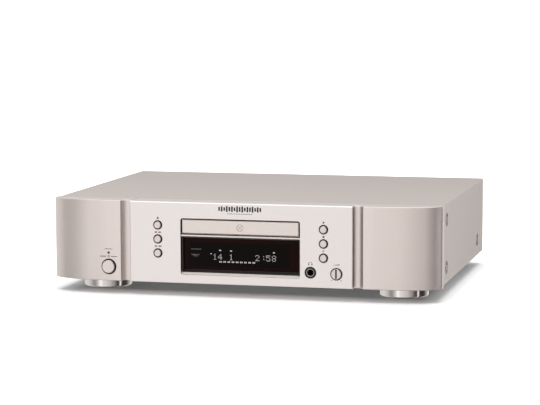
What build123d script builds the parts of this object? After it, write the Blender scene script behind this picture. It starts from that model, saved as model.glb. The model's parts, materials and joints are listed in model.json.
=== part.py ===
from build123d import *
import os
from math import acos, cos, pi, radians, sin, tan

# Full-width hi-fi compact disc player. Millimetres, +Z up, +X to the viewer's right, the front
# faces -Y. The origin is on the surface it stands on, under the middle of the whole player.

# ---------------------------------------------------------------- driving dimensions
overall_width = 440.0
overall_height = 104.0
overall_depth = 344.0
foot_height = 14.0
knob_protrusion = 2.0
socket_protrusion = 9.0

# sheet metal and general clearances
cover_sheet = 1.0
chassis_sheet = 1.2
seam_gap = 0.4
fit_gap = 0.3
running_gap = 0.05
wall = 2.5

# front: centre plate between two wings
plate_side_margin = 58.0
plate_thickness = 7.0
plate_top_sheet = 3.0
plate_top_round = 2.2
plate_edge_break = 0.5
channel_width = 11.5
channel_depth = 7.5
channel_fillet = 6.0
wing_step_back = 1.0
wing_wall = 3.0
wing_edge_round = 0.9
wing_turns = (4.5, 15.5, 28.0, 42.0)
wing_bend_radii = (105.0, 38.0, 3.4)
cover_setback = 29.4
cover_inset = 1.7
cover_bottom_gap = 1.6
cover_bend = 1.3
cover_lip = 7.0
dimple_radius = 8.3
dimple_depth = 1.6
dimple_slope = 1.6

# window with the tray above the display
window_side_gap = 3.0
window_top_margin = 17.8
window_bottom_margin = 9.7
window_corner = 2.5
tray_front_height = 15.8
tray_front_gap = 1.2
tray_front_thickness = 8.0
tray_front_chamfer = 1.2
bar_drop = 1.2
bar_height = 1.7
bar_step_back = 1.2
sill_rise = 2.3
sill_run = 2.4
lens_setback = 7.0
lens_thickness = 2.0
bezel_wall = 1.6
bezel_slope_rise = 2.9
bezel_rebate = 2.0

# buttons, lamp, headphone socket and level knob
button_from_window = 26.0
button_top_margin = 26.0
button_pitch = 15.55
button_rows = 3
button_radius = 3.9
button_gap = 1.1
button_proud = 2.0
button_travel = 0.8
button_dome = 0.8
power_from_channel = 14.2
power_height = 29.8
power_radius = 7.3
power_gap = 1.2
power_proud = 2.2
power_travel = 1.5
lamp_height = 45.3
lamp_radius = 1.4
jack_from_window = 11.5
jack_height = 30.7
jack_nut_radius = 6.0
jack_bore_radius = 3.2
level_from_window = 40.3
level_height = 29.9
knob_radius = 5.7
knob_gap = 0.9
knob_length = 7.5
knob_slot = 1.8
shaft_radius = 3.0

# feet
foot_radius = 27.0
foot_front_setback = 59.5
foot_rear_setback = 55.0
foot_side_inset = 48.5
foot_round = 1.4
foot_bottom = 1.0
pad_outer_radius = 21.0
pad_inner_radius = 9.0

# disc tray and its loader
disc_recess_radius = 60.8
small_recess_radius = 40.8
recess_depth = 3.4
tray_rim = 3.7
tray_thickness = 8.5
tray_disc_start = 4.0
tray_tail = 61.4
tray_out_gap = 2.4
tray_slot_half = 20.0
loader_tail = 10.1
loader_wall = 4.0
rack_module = 1.0
gear_teeth = 16
rack_from_edge = 10.5
backlash = 0.3
pulley_radius = 11.0
motor_pulley_radius = 3.6
pulley_height = 4.0
belt_thickness = 1.0
belt_height = 1.6

# traverse with spindle, rods and pickup
traverse_half_width = 28.0
traverse_thickness = 2.0
traverse_arm = 85.0
pivot_radius = 2.0
pivot_length = 9.0
rod_radius = 1.5
rod_x = 22.0
sled_half_width = 25.0
sled_length = 22.0
sled_travel = 33.0
spindle_can_radius = 12.5
turntable_radius = 15.0
puck_radius = 14.0

# boards
board_thickness = 1.6
standoff_height = 8.0
side_board_clearance = 12.0
loader_clearance = 12.0

# ---------------------------------------------------------------- derived places
front = -overall_depth / 2 + knob_protrusion
rear = overall_depth / 2 - socket_protrusion
top = overall_height
bottom = foot_height
half_width = overall_width / 2
tray_half_width = disc_recess_radius + tray_rim
window_half = tray_half_width + window_side_gap
plate_half = window_half + plate_side_margin
wing_inner = plate_half + channel_width
cover_front = front + cover_setback
cover_half = half_width - cover_inset
cover_bottom = bottom + cover_bottom_gap
chassis_half = cover_half - cover_sheet - dimple_depth - 0.1
floor_top = bottom + chassis_sheet
rear_panel_face = rear - cover_sheet
rear_panel_back = rear_panel_face - cover_sheet
panel_back = cover_front - seam_gap

window_top = top - window_top_margin
window_bottom = bottom + window_bottom_margin
tray_front_top = window_top - tray_front_gap
tray_front_bottom = tray_front_top - tray_front_height
bar_top = tray_front_bottom - bar_drop
bar_bottom = bar_top - bar_height
sill_top = window_bottom + 0.2 + sill_rise
frame_face = front + plate_thickness
frame_back_of_wall = frame_face + wall
frame_half = plate_half - 0.6
bezel_front = front + sill_run + 1.0
bezel_half = window_half - fit_gap
bezel_top = bar_bottom - 0.2
bezel_bottom = sill_top + 0.2
lens_front = front + lens_setback
lens_back = lens_front + lens_thickness
lens_bottom = bezel_bottom + bezel_slope_rise
lens_top = bezel_top - bezel_wall
lens_half = bezel_half - bezel_wall

button_x = window_half + button_from_window
button_hole_radius = button_radius + button_gap
button_heights = [top - button_top_margin - button_pitch * row for row in range(button_rows)]
power_x = -(wing_inner + power_from_channel)
power_hole_radius = power_radius + power_gap
wing_face = front + wing_step_back
key_board_y = front + 22.0
jack_x = window_half + jack_from_window
level_x = window_half + level_from_window
knob_front = front - knob_protrusion
knob_back = knob_front + knob_length

tray_bottom = tray_front_bottom + 2.8
tray_top = tray_bottom + tray_thickness
recess_floor = tray_top - recess_depth
tray_start = front + tray_front_thickness
disc_y = tray_start + tray_disc_start + disc_recess_radius
tray_end = disc_y + disc_recess_radius + tray_tail
tray_travel = disc_y + disc_recess_radius - front + tray_out_gap
loader_front = cover_front + chassis_sheet + 1.5
loader_back = tray_end + loader_tail
loader_inner = tray_half_width + 0.5
loader_half = loader_inner + loader_wall
loader_base_top = tray_bottom - 23.5
loader_base_bottom = loader_base_top - wall
loader_wall_top = tray_top + 5.5
bridge_top = loader_wall_top + chassis_sheet

gear_radius = rack_module * gear_teeth / 2
rack_pitch_x = tray_half_width - rack_from_edge
gear_x = rack_pitch_x - gear_radius
gear_y = loader_front + 14.0
rack_bottom = bar_top + 0.4
gear_bottom = rack_bottom - 0.1
gear_height = tray_bottom - fit_gap - gear_bottom
pulley_bottom = gear_bottom - 0.8 - pulley_height
motor_x = 4.0
motor_y = loader_front + 12.0

traverse_top = tray_bottom - 8.0
traverse_bottom = traverse_top - traverse_thickness
pivot_y = disc_y + traverse_arm
pivot_z = traverse_bottom + traverse_thickness / 2
rod_z = traverse_top + 2.0 + rod_radius
sled_bottom = traverse_top + 0.8
sled_top = tray_bottom - 1.2
sled_start = disc_y + turntable_radius + 3.0
turntable_bottom = recess_floor - 1.5
turntable_top = recess_floor + 1.5
cone_top = turntable_top + 2.4
puck_bottom = cone_top + 1.0

board_bottom = floor_top + standoff_height
board_top = board_bottom + board_thickness
main_board_x = (loader_half + loader_clearance, chassis_half - side_board_clearance)
main_board_y = (cover_front + 14.0, rear_panel_back - 8.0)
power_board_x = (-chassis_half + side_board_clearance, -loader_half - loader_clearance)
power_board_y = (rear_panel_back - 88.0, rear_panel_back - 8.0)


# ---------------------------------------------------------------- helpers
def block(x, y, z):
    """A box between two corners, each given as (low, high)."""
    size = (x[1] - x[0], y[1] - y[0], z[1] - z[0])
    return Pos((x[0] + x[1]) / 2, (y[0] + y[1]) / 2, (z[0] + z[1]) / 2) * Box(*size)


def upright(x, y, z, radius):
    return Pos(x, y, (z[0] + z[1]) / 2) * Cylinder(radius, z[1] - z[0])


def along_y(x, y, z, radius):
    return Pos(x, (y[0] + y[1]) / 2, z) * Rot(90, 0, 0) * Cylinder(radius, y[1] - y[0])


def flared_mouth(x, y, z, radius, depth):
    """The cone that breaks the edge of a hole in a front face at y."""
    return Pos(x, y + depth / 2, z) * Rot(90, 0, 0) * Cone(radius, radius + depth, depth + 0.1)


def along_x(x, y, z, radius):
    return Pos((x[0] + x[1]) / 2, y, z) * Rot(0, 90, 0) * Cylinder(radius, x[1] - x[0])


def prism_x(x, points):
    """A prism along X whose outline is given as (y, z) points."""
    outline = Plane.YZ * make_face(Polyline(*points, close=True))
    return Pos(x[0], 0, 0) * extrude(outline, x[1] - x[0], dir=(1, 0, 0))


def pan_head_screw(head_radius, head_height, shank_radius, shank_length):
    """A screw along +Z: the head's seat is at z = 0 and the shank points down."""
    head = upright(0, 0, (0, head_height), head_radius)
    head = fillet(head.edges().sort_by(Axis.Z)[-1], head_height * 0.45)
    slot_depth = head_height * 0.5
    for turn in (0, 90):
        slot = Box(head_radius * 1.1, head_radius * 0.24, slot_depth * 2)
        head -= Pos(0, 0, head_height) * Rot(0, 0, turn) * slot
    return head + upright(0, 0, (-shank_length, 0), shank_radius)


def save(name, *pieces):
    """Write one node: every solid of the given pieces in one STEP file."""
    solids = [solid for piece in pieces for solid in piece.solids()]
    export_step(Compound(children=solids), f"parts/{name}.step")


def mirrored(piece):
    return piece.mirror(Plane.YZ)


# ---------------------------------------------------------------- front plate
def window_opening(y, grow=0.0):
    """The rounded window through the plate, between two depths."""
    width = 2 * (window_half + grow)
    height = window_top - window_bottom + 2 * grow
    middle = (window_top + window_bottom) / 2
    outline = Plane.XZ * Pos(0, middle, 0) * RectangleRounded(width, height, window_corner + grow)
    return Pos(0, y[1], 0) * extrude(outline, y[1] - y[0], dir=(0, -1, 0))


def button_places():
    return [(side * button_x, height) for side in (-1, 1) for height in button_heights]


def front_plate():
    face = block((-plate_half, plate_half), (front, frame_face - 0.1), (bottom, top))
    roof = block((-plate_half, plate_half), (front, panel_back), (top - plate_top_sheet, top))
    plate = face + roof
    front_edges = plate.edges().filter_by(lambda e: abs(e.center().Y - front) < 0.01)
    plate = fillet(front_edges.sort_by(Axis.Z)[-1], plate_top_round)
    low_and_sides = plate.edges().filter_by(lambda e: abs(e.center().Y - front) < 0.01
                                            and e.center().Z < top - plate_top_round - 0.5)
    plate = chamfer(low_and_sides, plate_edge_break)
    plate -= window_opening((front - 5, frame_back_of_wall))
    for x, z in button_places():
        plate -= along_y(x, (front - 5, frame_back_of_wall), z, button_hole_radius)
    plate -= along_y(jack_x, (front - 5, frame_back_of_wall), jack_height, jack_nut_radius + 0.2)
    plate -= along_y(level_x, (front - 5, frame_back_of_wall), level_height, knob_radius + knob_gap)
    rims = plate.edges().filter_by(GeomType.CIRCLE)
    rims = rims.filter_by(lambda e: abs(e.center().Y - front) < 0.01 and e.radius > 3)
    return chamfer(rims, 0.35)


# ---------------------------------------------------------------- wings
def wing_face_curve(start):
    """Tangent arcs from the flat inner end of a wing round to its side. The first arc takes up
    whatever width the tighter bends leave."""
    heading = 0.0
    reach = 0.0
    for turn, radius in zip(wing_turns[1:], wing_bend_radii):
        before = wing_turns[0] + heading
        heading += turn
        reach += radius * (sin(radians(wing_turns[0] + heading)) - sin(radians(before)))
    gentle = (half_width - wing_inner - reach) / sin(radians(wing_turns[0]))
    curve = JernArc(start=start, tangent=(1, 0), radius=gentle, arc_size=wing_turns[0])
    for turn, radius in zip(wing_turns[1:], wing_bend_radii):
        last = curve.edges().sort_by(Axis.X)[-1]
        curve += JernArc(start=last @ 1, tangent=last % 1, radius=radius, arc_size=turn)
    return curve


def wing_outline():
    """Plan of the right wing: channel floor, fillet, curved face and side."""
    channel_y = front + channel_depth
    channel_start = plate_half + seam_gap
    floor_end = wing_inner - channel_fillet
    face_start = (wing_inner, wing_face)
    curve = wing_face_curve(face_start)
    corner = curve.edges().sort_by(Axis.X)[-1] @ 1
    floor_line = Line((channel_start, channel_y), (floor_end, channel_y))
    blend = JernArc(start=floor_line @ 1, tangent=(1, 0), radius=channel_fillet, arc_size=-90)
    rise = Line(blend @ 1, face_start)
    side = Polyline(corner, (corner.X, panel_back), (channel_start, panel_back),
                    (channel_start, channel_y))
    return make_face(Curve() + [floor_line, blend, rise, curve, side])


def plain_wing():
    outline = wing_outline()
    shell = extrude(Pos(0, 0, bottom) * outline, top - bottom)
    rims = shell.edges().filter_by(
        lambda e: min(abs(e.center().Z - top), abs(e.center().Z - bottom)) < 0.01
        and e.center().Y < panel_back - 0.5 and e.center().X > wing_inner - 0.1)
    shell = fillet(rims, wing_edge_round)
    cavity = offset(outline, amount=-wing_wall)
    inner = cavity.bounding_box()
    back_strip = Pos((inner.min.X + inner.max.X) / 2, panel_back - wing_wall) * Rectangle(
        inner.max.X - inner.min.X, 4 * wing_wall)
    cavity = cavity + back_strip
    return shell - extrude(Pos(0, 0, bottom + wing_wall) * cavity, top - bottom - 2 * wing_wall)


def left_wing():
    wing = mirrored(plain_wing())
    reach = (front - 5, front + 20)
    wing -= along_y(power_x, reach, power_height, power_hole_radius)
    wing -= flared_mouth(power_x, wing_face, power_height, power_hole_radius, 0.6)
    return wing - along_y(power_x, reach, lamp_height, lamp_radius + 0.1)


# ---------------------------------------------------------------- moulded frame behind the plate
def front_frame():
    outer = block((-frame_half, frame_half), (frame_face, panel_back - 0.6),
                  (bottom + 0.5, top - plate_top_sheet - 0.2))
    hollow = block((-frame_half + wall, frame_half - wall), (frame_back_of_wall, panel_back + 1),
                   (bottom + 0.5 + wall, top - plate_top_sheet - 0.2 - wall))
    frame = outer - hollow
    opening_half = window_half + 0.4
    through = (frame_face - 1, frame_back_of_wall + 1)
    frame -= block((-opening_half, opening_half), through, (sill_top, bar_bottom))
    frame -= block((-opening_half, opening_half), through, (bar_top, window_top + 0.4))
    bar_half = window_half - fit_gap
    frame += block((-bar_half, bar_half), (front + bar_step_back, frame_back_of_wall),
                   (bar_bottom, bar_top))
    sill_low = window_bottom + 0.2
    sill = prism_x((-bar_half, bar_half), [
        (front + 0.4, sill_low), (front + 0.4 + sill_run, sill_top),
        (frame_back_of_wall, sill_top), (frame_back_of_wall, sill_low)])
    frame += sill & window_opening((front, frame_back_of_wall), grow=-0.2)
    for x, z in button_places():
        frame -= along_y(x, through, z, button_hole_radius - 0.3)
    frame -= along_y(jack_x, through, jack_height, jack_nut_radius - 1.1)
    return frame - along_y(level_x, through, level_height, shaft_radius + 1.6)


def display_bezel():
    tunnel = block((-bezel_half, bezel_half), (bezel_front, lens_back + 2.0),
                   (bezel_bottom, bezel_top))
    tunnel -= block((-lens_half, lens_half), (bezel_front - 1, lens_back), (lens_bottom, lens_top))
    tunnel -= block((-lens_half + bezel_rebate, lens_half - bezel_rebate),
                    (bezel_front, lens_back + 3), (lens_bottom + bezel_rebate, lens_top - bezel_rebate))
    slope = prism_x((-lens_half, lens_half), [
        (bezel_front - 0.1, bezel_bottom + 0.3), (bezel_front - 0.1, lens_bottom + 0.1),
        (lens_front, lens_bottom + 0.1), (lens_front, lens_bottom)])
    return tunnel - slope


def display_lens():
    gap = 0.1
    return block((-lens_half + gap, lens_half - gap), (lens_front, lens_back - 0.05),
                 (lens_bottom + gap, lens_top - gap))


# ---------------------------------------------------------------- buttons, lamp, knob
def button(x, z):
    """A domed cap on a stem that reaches the switch behind it, with a flange that keeps it in."""
    cap_front = front - button_proud
    flange_front = frame_back_of_wall + fit_gap
    cap = along_y(x, (cap_front, flange_front), z, button_radius)
    rim = cap.edges().filter_by(lambda e: abs(e.center().Y - cap_front) < 0.01)
    cap = fillet(rim, button_dome)
    flange = along_y(x, (flange_front, flange_front + 1.2), z, button_hole_radius + 1.0)
    stem = along_y(x, (flange_front + 1.2, key_board_y - 5.2 - button_travel), z, 2.0)
    return cap + flange + stem


def power_button():
    cap_front = wing_face - power_proud
    flange_front = wing_face + wing_wall + 0.8
    cap = along_y(power_x, (cap_front, flange_front), power_height, power_radius)
    rim = cap.edges().filter_by(lambda e: abs(e.center().Y - cap_front) < 0.01)
    cap = fillet(rim, 0.9)
    flange = along_y(power_x, (flange_front, flange_front + 1.5), power_height, power_radius + 2)
    stem = along_y(power_x, (flange_front + 1.5, flange_front + 8), power_height, 2.5)
    return cap + flange + stem


def power_switch():
    start = wing_face + wing_wall + 8.8 + power_travel + 0.3
    plunger = along_y(power_x, (start, start + 3), power_height, 2.2)
    body = block((power_x - 7, power_x + 7), (start + 3, start + 22),
                 (floor_top + 4.2, power_height + 6))
    foot = block((power_x - 7, power_x + 7), (cover_front + 2, start + 22), (floor_top, floor_top + 4.2))
    return plunger + body + foot


def power_lamp():
    pipe = along_y(power_x, (wing_face + 0.15, wing_face + 10), lamp_height, lamp_radius)
    return pipe + along_y(power_x, (wing_face + wing_wall + 1.5, wing_face + 12), lamp_height, 2.6)


def level_knob():
    """A slotted knob that turns in a round well in the plate and stands a little proud of it."""
    body = along_y(level_x, (knob_front, knob_back), level_height, knob_radius)
    rim = body.edges().filter_by(lambda e: abs(e.center().Y - knob_front) < 0.01)
    body = fillet(rim, 0.8)
    pointer = block((level_x - knob_slot / 2, level_x + knob_slot / 2),
                    (knob_front - 1, knob_front + 2.2),
                    (level_height - knob_radius - 1, level_height + knob_radius + 1))
    bore = along_y(level_x, (knob_front + 3.5, knob_back + 1), level_height, shaft_radius)
    return body - pointer - bore


def level_shaft():
    return along_y(level_x, (knob_front + 3.5, frame_back_of_wall + 6), level_height, shaft_radius)


def level_potentiometer():
    body_front = frame_back_of_wall + fit_gap
    body = block((level_x - 8, level_x + 8), (body_front, body_front + 9),
                 (board_bottom + 0.2, level_height + 8))
    bush = along_y(level_x, (knob_back + 0.3, body_front), level_height, shaft_radius + 1.4)
    socket = along_y(level_x, (front, body_front + 7), level_height, shaft_radius + running_gap)
    return body + bush - socket


def headphone_jack():
    body_front = frame_back_of_wall + fit_gap
    body = block((jack_x - 8, jack_x + 8), (body_front, body_front + 24),
                 (board_bottom + 0.2, jack_height + 8))
    nose = along_y(jack_x, (front + 0.6, body_front), jack_height, 4.7)
    bore = along_y(jack_x, (front, body_front + 22), jack_height, jack_bore_radius)
    return body + nose - bore


def headphone_nut():
    """Dark ring nut on the socket's nose, sunk in the plate."""
    ring_front = front - 0.6
    ring = along_y(jack_x, (ring_front, frame_face - 0.2), jack_height, jack_nut_radius)
    rim = ring.edges().filter_by(lambda e: abs(e.center().Y - ring_front) < 0.01)
    ring = fillet(rim, 0.5)
    ring -= along_y(jack_x, (ring_front - 1, front + 3), jack_height, 4.75)
    ring -= along_y(jack_x, (front - 1, frame_face), jack_height, 4.75)
    mouth = along_y(jack_x, (ring_front, front + 0.5), jack_height, 4.8)
    lip = mouth - along_y(jack_x, (ring_front - 1, front + 1), jack_height, jack_bore_radius + 0.6)
    mouth_edges = lip.edges().filter_by(
        lambda e: abs(e.center().Y - ring_front) < 0.01 and e.radius < 4.5)
    return ring + chamfer(mouth_edges, 0.6)


# ---------------------------------------------------------------- boards behind the front
def front_boards():
    """Display board, the two key boards and the headphone board."""
    pieces = [block((-window_half + 1, window_half - 1),
                    (lens_back + 9, lens_back + 9 + board_thickness),
                    (window_bottom + 4, bar_bottom))]
    for side in (-1, 1):
        x = sorted((side * (button_x - 10), side * (button_x + 10)))
        pieces.append(block(x, (key_board_y, key_board_y + board_thickness),
                            (button_heights[-1] - 6, button_heights[0] + 8)))
    pieces.append(block((jack_x - 11, level_x + 10), (frame_back_of_wall + 0.5, cover_front + 12),
                        (board_bottom - board_thickness, board_bottom)))
    return pieces


def tact_switches():
    pieces = []
    for x, z in button_places():
        body = block((x - 3, x + 3), (key_board_y - 3.8, key_board_y), (z - 3, z + 3))
        tip = along_y(x, (key_board_y - 5.0, key_board_y - 3.8), z, 1.7)
        pieces.append(body + tip)
    return pieces


def vfd_tube():
    """Vacuum fluorescent display: a flat glass envelope behind the lens."""
    return block((-window_half + 9, window_half - 9), (lens_back + 3, lens_back + 8.8),
                 (window_bottom + 8, bar_bottom - 5))


# ---------------------------------------------------------------- feet
def foot_places():
    x = half_width - foot_side_inset
    depths = (front + foot_front_setback, rear - foot_rear_setback)
    return [(side * x, y) for y in depths for side in (-1, 1)]


def foot(x, y):
    body = upright(x, y, (foot_bottom, bottom), foot_radius)
    body = fillet(body.edges().sort_by(Axis.Z)[0], foot_round)
    body -= upright(x, y, (0, foot_bottom + 1.0), pad_outer_radius + 0.1)
    body -= upright(x, y, (0, bottom - 4.5), pad_inner_radius - 1.5)
    return body - upright(x, y, (0, bottom + 1), 2.2)


def foot_pad(x, y):
    ring = upright(x, y, (0, foot_bottom + 1.0), pad_outer_radius)
    ring = fillet(ring.edges().sort_by(Axis.Z)[0], 0.5)
    return ring - upright(x, y, (-1, foot_bottom + 2), pad_inner_radius)


def foot_screw(x, y):
    screw = pan_head_screw(4.0, 2.6, 2.0, 4.5 + 4)
    return Pos(x, y, bottom - 4.5) * Rot(180, 0, 0) * screw


# ---------------------------------------------------------------- casework
def dimple_places():
    """(y, z) of the recessed cover screws on each side."""
    return [(cover_front + 29.1, top - 18.8), (cover_front + 29.1, bottom + 18.6),
            (rear - 47.0, bottom + 20.0)]


def rear_screw_places():
    return [x * (cover_half - 60) for x in (-1, 0, 1)]


def bottom_chassis():
    """Floor, side flanges, portal behind the front moulding, and board standoffs."""
    x = (-chassis_half, chassis_half)
    y = (cover_front + 0.2, rear_panel_face)
    tray = block(x, y, (bottom, floor_top))
    for side in (-1, 1):
        flange = sorted((side * chassis_half, side * (chassis_half - chassis_sheet)))
        tray += block(flange, (y[0], rear_panel_back - 0.2), (bottom, bottom + 28))
        tray += block(flange, (y[0], cover_front + 40), (bottom, top - cover_sheet - 3))
    portal = block(x, (y[0], y[0] + chassis_sheet), (bottom, top - cover_sheet - 3))
    portal -= block((-frame_half + wall, frame_half - wall), (y[0] - 1, y[0] + 3),
                    (floor_top + 4, top + 1))
    portal -= block((power_x - 9, power_x + 9), (y[0] - 1, y[0] + 3), (floor_top, power_height + 8))
    tray += portal
    for px, py in transformer_screw_places():
        tray -= upright(px, py, (bottom - 1, floor_top + 1), 1.3)
    for px, py in foot_places():
        tray -= upright(px, py, (bottom - 1, floor_top + 1), 2.2)
    for py, pz in dimple_places():
        tray -= along_x((-chassis_half - 1, chassis_half + 1), py, pz, 1.55)
    for bx, by in board_screw_places():
        tray += upright(bx, by, (floor_top, board_bottom), 3.0)
        tray -= upright(bx, by, (floor_top, board_bottom + 1), 1.3)
    slot_rows = 6
    for side in (-1, 1):
        for row in range(slot_rows):
            tray -= block(sorted((side * (loader_half + 22), side * (chassis_half - 40))),
                          (row * 14 - 20, row * 14 - 16), (bottom - 1, floor_top + 1))
    return tray


def top_cover():
    """U-shaped sheet cover with lips at the rear and pressed dimples for its screws."""
    y = (cover_front, rear)
    shell = block((-cover_half, cover_half), y, (cover_bottom, top))
    bends = shell.edges().filter_by(Axis.Y).sort_by(Axis.Z)[-2:]
    shell = fillet(bends, cover_bend)
    shell -= block((-cover_half + cover_sheet, cover_half - cover_sheet),
                   (y[0] - 1, rear_panel_face), (cover_bottom - 1, top - cover_sheet))
    lip_half = cover_half - cover_lip
    shell -= block((-lip_half, lip_half), (y[0] - 1, y[1] + 1), (cover_bottom - 1, top - cover_lip))
    shell += block((-cover_half + 3, cover_half - 3), (y[0], y[0] + cover_sheet),
                   (top - 2.6, top - cover_sheet))
    dimple = Pos(0, 0, cover_sheet / 2 - dimple_depth) * Cylinder(
        dimple_radius, cover_sheet)
    dimple += Cone(dimple_radius, dimple_radius + dimple_slope, dimple_depth,
                   align=(Align.CENTER, Align.CENTER, Align.MIN)).moved(Pos(0, 0, -dimple_depth))
    hollow = Cone(dimple_radius - dimple_slope, dimple_radius, dimple_depth,
                  align=(Align.CENTER, Align.CENTER, Align.MIN)).moved(Pos(0, 0, -dimple_depth))
    for side in (-1, 1):
        for py, pz in dimple_places():
            place = Pos(side * cover_half, py, pz) * Rot(0, side * 90, 0)
            pad = Cylinder(dimple_radius, dimple_depth + cover_sheet,
                           align=(Align.CENTER, Align.CENTER, Align.MAX))
            shell += place * pad
            shell -= place * hollow
            shell -= place * Cylinder(1.8, 8)
    for px in rear_screw_places():
        shell -= along_y(px, (rear_panel_face - 1, rear + 1), top - 3.6, 1.8)
    return shell


def cover_screws():
    screws = []
    side_screw = pan_head_screw(3.4, 1.5, 1.5, 5.0)
    for side in (-1, 1):
        for py, pz in dimple_places():
            place = Pos(side * (cover_half - dimple_depth), py, pz) * Rot(0, side * 90, 0)
            screws.append(place * side_screw)
    for px in rear_screw_places():
        screws.append(Pos(px, rear, top - 3.6) * Rot(-90, 0, 0) * side_screw)
    return screws


# ---------------------------------------------------------------- rear panel and its sockets
output_x = chassis_half - 36.0
digital_x = output_x - 42.0
remote_x = digital_x - 34.0
upper_row = floor_top + 46.0
lower_row = floor_top + 26.0
phono_places = [(output_x, upper_row), (output_x, lower_row), (digital_x, upper_row),
                (remote_x, upper_row), (remote_x, lower_row)]
inlet_x = -chassis_half + 42.0
inlet_z = floor_top + 30.0
optical_size = (9.8, 9.8)
inlet_size = (21.0, 11.0)
inlet_pin_spacing = 8.6
phono_radius = 4.15
phono_sleeve_wall = 0.7
phono_contact_radius = 1.7


def rear_panel():
    panel = block((-chassis_half, chassis_half), (rear_panel_back, rear_panel_face),
                  (floor_top + 0.05, top - cover_sheet - 0.1))
    through = (rear_panel_back - 1, rear_panel_face + 1)
    for x, z in phono_places:
        panel -= along_y(x, through, z, phono_radius + 0.6)
    panel -= block((digital_x - 5.2, digital_x + 5.2), through, (lower_row - 5.2, lower_row + 5.2))
    panel -= block((inlet_x - 13, inlet_x + 13), through, (inlet_z - 8, inlet_z + 8))
    for px in rear_screw_places():
        panel -= along_y(px, through, top - 3.6, 1.55)
    for x, z in rear_screws_small():
        panel -= along_y(x, through, z, 1.2)
    return panel


def rear_screws_small():
    between = (upper_row + lower_row) / 2
    return [(output_x, between), (digital_x - 9, between), (remote_x - 9, between),
            (inlet_x - 17, inlet_z), (inlet_x + 17, inlet_z)]


def socket_screws():
    screw = pan_head_screw(2.6, 1.5, 1.15, 4.0)
    seats = [rear_panel_face] * 3 + [rear_panel_face + 2.0] * 2
    return [Pos(x, seat, z) * Rot(-90, 0, 0) * screw
            for seat, (x, z) in zip(seats, rear_screws_small())]


def phono_housings():
    """Black insulating bodies: a block behind the panel and a ring inside each sleeve."""
    pieces = []
    inside = (rear_panel_back - 13.0, rear_panel_back - 0.2)
    groups = [(output_x, lower_row, upper_row), (digital_x, upper_row, upper_row),
              (remote_x, lower_row, upper_row)]
    for x, low, high in groups:
        body = block((x - 6.5, x + 6.5), inside, (low - 6.5, high + 6.5))
        middle = (lower_row + upper_row) / 2
        for sx, sz in rear_screws_small()[:3]:
            body -= along_y(sx, (inside[0] + 6, inside[1] + 1), middle, 1.2)
        for z in sorted({low, high}):
            body += along_y(x, (inside[1], rear_panel_face + 0.8), z, phono_radius + 0.4)
            body += along_y(x, (rear_panel_face, rear + 5.5), z, phono_radius - phono_sleeve_wall)
            body -= along_y(x, (rear_panel_face - 8, rear + 6), z, phono_contact_radius)
        pieces.append(body)
    return pieces


def phono_sleeves():
    inner = phono_radius - phono_sleeve_wall
    pieces = []
    for x, z in phono_places:
        tube = along_y(x, (rear_panel_face + 0.8, rear + socket_protrusion), z, phono_radius)
        pieces.append(tube - along_y(x, (rear_panel_face, rear + socket_protrusion + 1), z, inner))
    return pieces


def optical_socket():
    half_x, half_z = optical_size[0] / 2, optical_size[1] / 2
    body = block((digital_x - half_x, digital_x + half_x),
                 (rear_panel_back - 14, rear_panel_face + 2.2), (lower_row - half_z, lower_row + half_z))
    mouth = block((digital_x - 3.2, digital_x + 3.2), (rear_panel_face - 9, rear_panel_face + 3),
                  (lower_row - 3.2, lower_row + 3.2))
    return body - mouth


def ac_inlet():
    flange = block((inlet_x - 22, inlet_x + 22), (rear_panel_face + 0.1, rear_panel_face + 2.0),
                   (inlet_z - 10.5, inlet_z + 10.5))
    body = block((inlet_x - 12.7, inlet_x + 12.7), (rear_panel_back - 17, rear_panel_face + 2.0),
                 (inlet_z - 7.7, inlet_z + 7.7))
    socket = flange + body
    width, height = inlet_size
    mouth = Plane.XZ * Pos(inlet_x, inlet_z, 0) * RectangleRounded(width, height, 3.5)
    socket -= Pos(0, rear_panel_face + 5, 0) * extrude(mouth, 18.0, dir=(0, -1, 0))
    for side in (-1, 1):
        socket -= along_y(inlet_x + side * 17, (rear_panel_face - 1, rear + 3), inlet_z, 1.4)
        socket -= along_y(inlet_x + side * inlet_pin_spacing / 2,
                          (rear_panel_back - 18, rear_panel_face), inlet_z, 1.2)
    return socket


def ac_inlet_pins():
    return [along_y(inlet_x + side * inlet_pin_spacing / 2,
                    (rear_panel_back - 20, rear_panel_face - 0.5), inlet_z, 1.2) for side in (-1, 1)]


# ---------------------------------------------------------------- power supply and boards
transformer_x = power_board_x[0] + 36.0
transformer_y = (cover_front + 50.0, cover_front + 112.0)
core_height = 50.0


def transformer_core():
    """Laminated core standing on the floor, with the windows the winding passes through."""
    half = 33.0
    middle = (transformer_y[0] + transformer_y[1]) / 2
    y = (middle - 14, middle + 14)
    core = block((transformer_x - half, transformer_x + half), y,
                 (floor_top + 1.5, floor_top + core_height))
    window = ((11.5, 22.0), (floor_top + 12, floor_top + core_height - 10))
    for side in (-1, 1):
        core -= block(sorted((transformer_x + side * window[0][0], transformer_x + side * window[0][1])),
                      (y[0] - 1, y[1] + 1), window[1])
    bracket = block((transformer_x - half - 9, transformer_x + half + 9), y,
                    (floor_top, floor_top + 1.5))
    for side in (-1, 1):
        bracket -= upright(transformer_x + side * (half + 5), middle, (floor_top - 1, floor_top + 3), 2.0)
    return core + bracket


def transformer_winding():
    middle = (transformer_y[0] + transformer_y[1]) / 2
    z = (floor_top + 12.3, floor_top + core_height - 10.3)
    outer = block((transformer_x - 21.7, transformer_x + 21.7), (middle - 24, middle + 24), z)
    outer = fillet(outer.edges().filter_by(Axis.Z), 6)
    slot = block((transformer_x - 11.8, transformer_x + 11.8), (middle - 14.3, middle + 14.3),
                 (z[0] - 1, z[1] + 1))
    return outer - slot


def transformer_screw_places():
    middle = (transformer_y[0] + transformer_y[1]) / 2
    return [(transformer_x + side * 38.0, middle) for side in (-1, 1)]


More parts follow.
